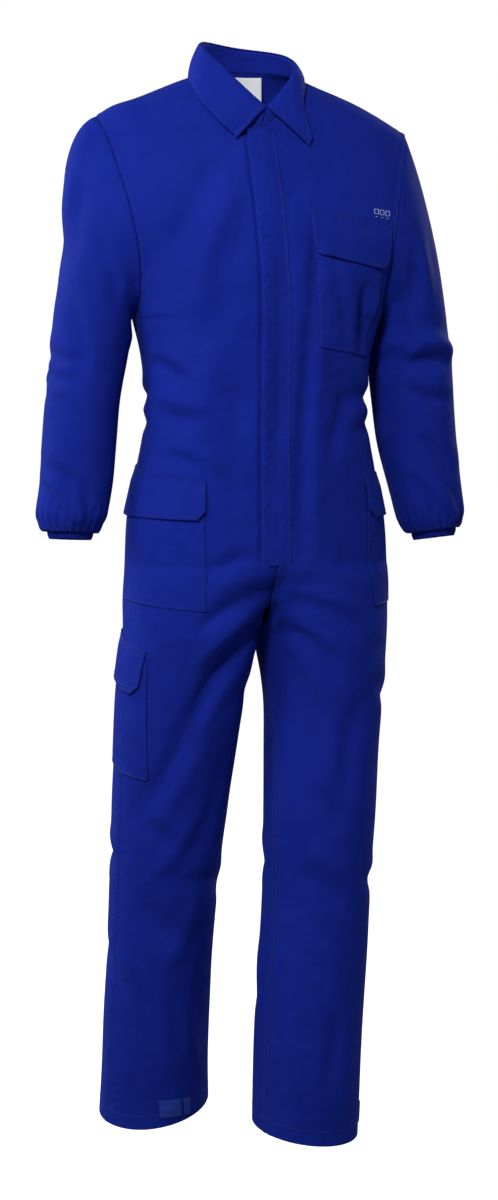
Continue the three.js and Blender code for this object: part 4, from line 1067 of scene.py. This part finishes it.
seam_rows = []
for name, banded in BANDED.items():
    net, facing = nets[name], normals[name]
    front_top = int(np.argmax(net[:, 0, 2] >= FRONT_SEAM_TOP))
    if "side" in banded:
        seam_rows += [beside_edge(name, distance, 0, FIRST_YOKE_ROW, True) for distance in SEAM_ROWS]
    if "inner" in banded:
        last = NECK_ROW if name.startswith("back") else front_top
        seam_rows += [beside_edge(name, distance, 0, last, False) for distance in SEAM_ROWS]
    seam_rows.append(beside_edge(name, ARMHOLE_ROW, FIRST_YOKE_ROW, ROW_END, True))
    seam_rows.append(across_net(net, facing, HEM_ROW, False))
    if name.startswith("front"):
        seam_rows += [across_net(net, facing, distance, True) for distance in SEAM_ROWS]
for side in SIDES:
    sleeve, facing = nets[f"sleeve_{side}"], normals[f"sleeve_{side}"]
    rows = np.arange(2, len(sleeve) - 6)
    seam_rows += [sewn_row(sleeve, facing, rows, 0 * rows + column) for column in SLEEVE_SEAM_COLUMNS]
    seam_rows.append(across_net(sleeve, facing, WRIST_ROW, True))
stitches("seam_stitching", seam_rows, blue_thread)

# Stitching of the collar: one row 5 mm inside the fall's edges and one round the foot of the stand.
COLLAR_ROW = 5.0
STAND_ROW = 2.5
fall_facing = grid_normals(fall_net, -1)
fall_rows, fall_columns = (np.arange(n) for n in fall_net.shape[:2])
inside = slice(6, -6)
free_rows = [np.interp(fall_up[-1, c] - COLLAR_ROW, fall_up[:, c], fall_rows) for c in fall_columns[inside]]
front_rows = fall_rows[3:-3]
starts = [np.interp(COLLAR_ROW, fall_across[r], fall_columns) for r in front_rows]
ends = [np.interp(fall_across[r, -1] - COLLAR_ROW, fall_across[r], fall_columns) for r in front_rows]
collar_rows = [
    sewn_row(fall_net, fall_facing, free_rows, fall_columns[inside]),
    sewn_row(fall_net, fall_facing, front_rows, starts),
    sewn_row(fall_net, fall_facing, front_rows, ends),
    across_net(stand_net, grid_normals(stand_net, 1), STAND_ROW, False),
]
stitches("collar_stitching", collar_rows, blue_thread)

# Pieces laid on the body: the placket, the pockets and their flaps, cut from the same twill with their edges
# turned under. Their corners are heights and distances along the cloth from the centre front.
EDGE_STEPS = np.array([0, 0.4, 1.0, 2.2, 4.2, 7.6, 10.0])
SEWN_AT = 3  # the edge step along which the first row of stitches runs, 2.2 mm in
SECOND_AT = 5  # and the second, 7.6 mm in
LAID_WALL = 0.6
FLAP_WALL = 1.2
LAID_PUCKERS = 7  # how far in from an edge its puckers fade out
EDGE_PLACES = 13
EDGE_MOVES = 4
BAG_CORNER = 3  # the pockets' lower corners are almost square, the flaps' are cut off
FLAP_CORNER = 12
TURNED_EDGE = {"low": 0.75, "rise": 1.1, "width": 1.3}
POCKET_FULL = 1.6
FLAP_OFF = {"rise": 2.5, "stand": 2.4, "wave": 0.7}
PLACKET_OFF = {"all": 0.3, "free": 1.1, "wave": 0.35}


def place_on_cloth(side, height, distance):
    """Row and column of a place given by its height and its distance along the cloth from the centre front:
    the distance is found in every row, and then the row with that height. Columns of the other half are
    negative."""
    own = side if distance >= 0 else OTHER[side]
    columns = np.array([np.interp(abs(distance), lengths, COLUMN_NUMBERS) for lengths in reach[own]])
    heights = read_net(cloth[own], ROW_NUMBERS, columns)[:, 2]
    row = np.interp(height, heights, ROW_NUMBERS)
    return row, np.interp(row, ROW_NUMBERS, columns) * (1 if distance >= 0 else -1)


def spread(length, count):
    """Shares of a length: at the edge steps from both ends, and even between them."""
    near = EDGE_STEPS[EDGE_STEPS < 0.4 * length] / length
    return np.concatenate([near[:-1], np.linspace(near[-1], 1 - near[-1], count), 1 - near[-2::-1]])


def on_cloth(halves, side, row, column):
    """Values at places on one half, or on the other half where the column is negative."""
    own = read_net(halves[side], row, abs(column))
    return np.where((column >= 0)[..., None], own, read_net(halves[OTHER[side]], row, abs(column)))


def straight_edge(side, low, high):
    """Rows and columns from one place to another, straight as seen at right angles to the cloth: each column
    is moved, in a few steps, onto the plane through both ends and the cloth's normal midway."""
    low, high = (place_on_cloth(side, *place) for place in (low, high))
    rows, columns = (np.linspace(a, b, EDGE_PLACES) for a, b in zip(low, high))
    points = on_cloth(cloth, side, rows, columns)
    facing = on_cloth(cloth_normals, side, rows, columns)[EDGE_PLACES // 2]
    plane = np.cross(points[-1] - points[0], facing)
    for _ in range(EDGE_MOVES):
        off, ahead = ((on_cloth(cloth, side, rows, columns + k) - points[0]) @ plane for k in (0, 1))
        columns = columns - off / (ahead - off)
    return rows, columns


def even_edge(side, low, high):
    """Rows and columns at one distance from the centre front."""
    places = [place_on_cloth(side, height, low[1]) for height in np.linspace(low[0], high[0], EDGE_PLACES)]
    return np.array(places).T


def laid_net(side, across, heights, lift, low=None, corner=FLAP_CORNER, steps=(44, 44), even=False):
    """A piece on the cloth: rows and columns between its four corners, with the lower corners cut off, read
    from the cloth and moved out by lift, a function of each point's share across and up and of its distance
    in millimetres from the piece's nearest edge."""
    low = low or across
    ends = []
    for at in (0, 1):
        inwards = np.sign(across[1 - at] - across[at])
        bottom, top = heights[at]
        foot = place_on_cloth(side, bottom, low[at] + corner * inwards)
        edge = (even_edge if even else straight_edge)(side, (bottom + corner, low[at]), (top, across[at]))
        ends.append(np.concatenate([np.array(foot)[:, None], edge], 1))
    length = np.mean([top - bottom for bottom, top in heights])
    width = abs(across[1] - across[0])
    up, share = spread(length, steps[0])[:, None], spread(width, steps[1])[None]
    keys = np.concatenate([[0], np.linspace(corner / length, 1, EDGE_PLACES)])
    rows, columns = (
        (1 - share) * np.interp(up, keys, a) + share * np.interp(up, keys, b) for a, b in zip(*ends)
    )
    point, facing = (on_cloth(halves, side, rows, columns) for halves in (cloth, cloth_normals))
    facing /= np.linalg.norm(facing, axis=-1, keepdims=True)
    inset = np.minimum(np.minimum(share, 1 - share) * width, np.minimum(up, 1 - up) * length)
    return point + facing * lift(share, up, inset)[..., None], inset


def turned_edge(inset):
    """The rounded edge of a sewn-down piece: low at the very edge and then the piece's full height."""
    short = 1 - np.clip(inset / TURNED_EDGE["width"], 0, 1)
    return TURNED_EDGE["low"] + TURNED_EDGE["rise"] * np.sqrt(1 - short**2)


def pocket_lift(share, up, inset):
    """A patch pocket: sewn flat at its sides and bottom, a little full in the middle."""
    full = POCKET_FULL * np.sin(np.pi * share) * np.sin(np.pi * up) ** 0.8
    return turned_edge(inset) + full * ease(inset, 3, 16)


def flap_lift(share, up, inset):
    """A flap: sewn along its top, it rises over the pocket, and its free edge stands off in a slight wave."""
    free = 1 - ease(up, 0.62, 1)
    wave = FLAP_OFF["wave"] * np.sin(7 * share + 0.6) * (1 - up)
    return turned_edge(inset) + free * FLAP_OFF["rise"] + (FLAP_OFF["stand"] + wave) * (1 - up) ** 2


def placket_lift(share, up, inset):
    """The placket: almost flush where it is sewn along the wearer's left side, and free along the other
    edge."""
    flush = 0.25 + 0.75 * ease(1 - share, 0.04, 0.3)
    free = ease(1 - share, 0.35, 1) * ease(up, 0.02, 0.1)
    off = free * (PLACKET_OFF["free"] + PLACKET_OFF["wave"] * np.sin(31 * up))
    return turned_edge(inset) * flush + PLACKET_OFF["all"] + off


def edge_row(net, facing, where, step=SEWN_AT):
    """A row of stitches beside one edge of a laid piece: bottom, top, first or last column."""
    rows, columns = (np.arange(count)[step:-step] for count in net.shape[:2])
    if where in ("bottom", "top"):
        row = step if where == "bottom" else net.shape[0] - 1 - step
        return sewn_row(net, facing, 0 * columns + row, columns)
    column = step if where == "first" else net.shape[1] - 1 - step
    return sewn_row(net, facing, rows, 0 * rows + column)


def laid_piece(node, side, across, heights, lift, wall, cut, rests_on, sewn, **shape):
    """A laid piece, its net, its normals and its rows of stitches, each named by its edge and edge step."""
    net, inset = laid_net(side, across, heights, lift, **shape)
    outward = FACING[f"front_{side}"]
    cloth_piece(node, net, outward, np.exp(-inset / LAID_PUCKERS), wall, cut, rests_on)
    facing = grid_normals(net, outward)
    return net, facing, [edge_row(net, facing, *where) for where in sewn]


SEWN_ROUND = [("first",), ("last",), ("bottom",)]
SEWN_FLAP = [("top",), ("top", SECOND_AT), ("first",), ("last",), ("bottom",), ("bottom", SECOND_AT)]
WAIST_LINE = 1163  # a short row of stitches across the placket and beyond it
WAIST_TACK = (22, 56)
PLACKET_MIDDLE = 10  # a column of its net
placket_net, placket_facing, pocket_rows = laid_piece(
    "placket",
    "left",
    (-20, 20),
    ((872, 1477), (872, 1477)),
    placket_lift,
    LAID_WALL,
    ((0.04, 0.61), 0.024),
    ["front_left_cloth", "front_right_cloth"],
    [("last",), ("bottom",), ("bottom", SECOND_AT)],
    corner=8,
    steps=(120, 14),
    even=True,
)
waist_row = np.interp(WAIST_LINE, placket_net[:, PLACKET_MIDDLE, 2], np.arange(len(placket_net)))
placket_columns = np.arange(1, placket_net.shape[1] - 1)
pocket_rows.append(sewn_row(placket_net, placket_facing, 0 * placket_columns + waist_row, placket_columns))
waist_ends = np.array([place_on_cloth("left", WAIST_LINE, distance) for distance in WAIST_TACK]).T
pocket_rows.append(sewn_row(cloth["left"], cloth_normals["left"], *waist_ends))

# Patch pockets, each with a flap above that is wider than it is. The chest pocket reaches into the left
# armhole seam, the hip pockets go round the side seams, and the thigh pocket round the right one.
POCKETS = {
    # name: side, distances of both edges at the top and at the lower corners, heights of both edges, the cut
    "chest_pocket": ("left", (64, 188), (64, 158), ((1172, 1340), (1160, 1328)), ((0.124, 0.168), 0.0184)),
    "chest_flap": ("left", (60, 195), (60, 190), ((1300, 1366), (1284, 1350)), ((0.135, 0.067), 0.0086)),
    "hip_pocket_right": ("right", (101, 265), (114, 265), ((811, 974), (824, 984)), ((0.168, 0.163), 0.0271)),
    "hip_flap_right": ("right", (98, 268), (98, 268), ((935, 991), (939, 1010)), ((0.170, 0.070), 0.0114)),
    "hip_pocket_left": ("left", (153, 317), (162, 317), ((811, 974), (824, 984)), ((0.169, 0.164), 0.0273)),
    "hip_flap_left": ("left", (150, 320), (150, 320), ((935, 991), (939, 1010)), ((0.171, 0.071), 0.0115)),
    "thigh_pocket": ("right", (254, 384), (214, 352), ((572, 738), (592, 756)), ((0.138, 0.166), 0.022)),
    "thigh_flap": ("right", (262, 392), (258, 392), ((693, 754), (712, 776)), ((0.134, 0.072), 0.0093)),
}
for name, (side, across, low, heights, cut) in POCKETS.items():
    front, back = f"front_{side}_cloth", f"back_{side}_cloth"
    if "flap" in name:
        under = [name.replace("flap", "pocket") + "_cloth", front]
        own = (flap_lift, FLAP_WALL, cut, under, SEWN_FLAP)
        corner = FLAP_CORNER
    else:
        under = [front] if name == "chest_pocket" else [front, back]
        own = (pocket_lift, LAID_WALL, cut, under, SEWN_ROUND)
        corner = BAG_CORNER
    pocket_rows += laid_piece(name, side, across, heights, *own, low=low, corner=corner)[2]
stitches("pocket_stitching", pocket_rows, blue_thread)

# Patches sewn on the hems, finely woven in a slightly lighter blue and left plain.
PATCH_COLOURS = ((0.012, 0.030, 0.26, 1), (0.030, 0.070, 0.42, 1))
PATCH_STEP = 2  # the edge step of their stitches, 1 mm in
HEM_PATCHES = {
    # name: side, distances, heights, and the cut
    "hem_patch_right": ("right", (121, 154), (84, 110), ((0.035, 0.028), 0.00095)),
    "hem_tab_right": ("right", (105, 117), (84, 108), ((0.014, 0.0245), 0.00033)),
    "hem_patch_left": ("left", (182, 226), (84, 114), ((0.046, 0.032), 0.00143)),
}
patch_weave = cloth_material("patch_weave", *PATCH_COLOURS, roughness=0.6, sheen=0.05, relief=0.6)
patch_rows = []
for name, (side, across, heights, cut) in HEM_PATCHES.items():
    net, _ = laid_net(side, across, (heights, heights), pocket_lift, corner=2, steps=(12, 12))
    outward = FACING[f"front_{side}"]
    cloth_piece(name, net, outward, 0, LAID_WALL, cut, [f"front_{side}_cloth"], patch_weave, "patch_blue")
    facing = grid_normals(net, outward)
    patch_rows += [edge_row(net, facing, where, PATCH_STEP) for where in ("first", "last", "bottom", "top")]
stitches("patch_stitching", patch_rows, blue_thread, pitch=1.8, length=1.4)

# The neck label: a plain strip of white satin, sewn in at the neck seam a little left of the centre back.
LABEL = {"columns": (-0.2, 1.2), "top": 1566, "bottom": 1516, "clear": 1.95, "wall": 0.6, "wave": 0.4}
LABEL_CUT = ((0.038, 0.052), 0.00197)
LABEL_COLUMNS = 16
# Its columns are counted in sixteenths of the neckline, from the centre back to the left.
LABEL_UNIT = (len(neck_ring) - 1) / 16
SATIN_COLOURS = ((0.84, 0.87, 0.92, 1), (0.93, 0.94, 0.96, 1))
label_at = (len(neck_ring) - 1) / 2 - np.linspace(*LABEL["columns"], LABEL_COLUMNS) * LABEL_UNIT
label_edge = read_net(neck_ring[:, None].repeat(2, 1), label_at, 0 * label_at)
inwards = (LEAN["neck"], 0, 0) - label_edge * (1, 1, 0)
inwards /= np.linalg.norm(inwards, axis=1, keepdims=True)
down = np.linspace(0, 1, 20)[:, None]
label_wave = LABEL["clear"] + LABEL["wave"] * np.sin(4 * down + np.linspace(0, 3, LABEL_COLUMNS)) * down
label_net = (label_edge * (1, 1, 0))[None] + inwards[None] * label_wave[..., None]
label_net[..., 2] = LABEL["top"] + (LABEL["bottom"] - LABEL["top"]) * down
label_faces = grid_normals(label_net, 1)
label_side = np.sign(np.sum(label_faces[0, 8] * inwards[8]))
satin = cloth_material("white_satin", *SATIN_COLOURS, roughness=0.4, sheen=0.05, relief=0.15)
label_parts = (LABEL["wall"], LABEL_CUT, ["back_left_cloth"], satin, "white_label")
cloth_piece("neck_label", label_net, label_side, 0, *label_parts)

# Small plain marks sewn in pale thread above the chest flap: three squares and a dash under each.
MARKS = {"first": 167, "step": 9.8, "height": 1361.5, "slope": -0.1, "square": 6.8, "dash_below": 3.8}
PALE_COLOUR = (0.62, 0.70, 0.86, 1)
pale_thread = thread_material("pale_thread", PALE_COLOUR, roughness=0.5)
mark_rows = []
for number in range(3):
    left = MARKS["first"] + MARKS["step"] * number
    bottom = MARKS["height"] + MARKS["slope"] * MARKS["step"] * number
    right, top = left + MARKS["square"], bottom + MARKS["square"]
    under = bottom - MARKS["dash_below"]
    square = [(bottom, left), (top, left), (top, right), (bottom, right), (bottom, left)]
    for corners in (square, [(under, left + 1), (under, right - 1)]):
        places = np.array([place_on_cloth("left", height, distance) for height, distance in corners]).T
        mark_rows.append(sewn_row(cloth["left"], cloth_normals["left"], *places))
stitches("chest_marks", mark_rows, pale_thread, pitch=1.2, length=1.3)
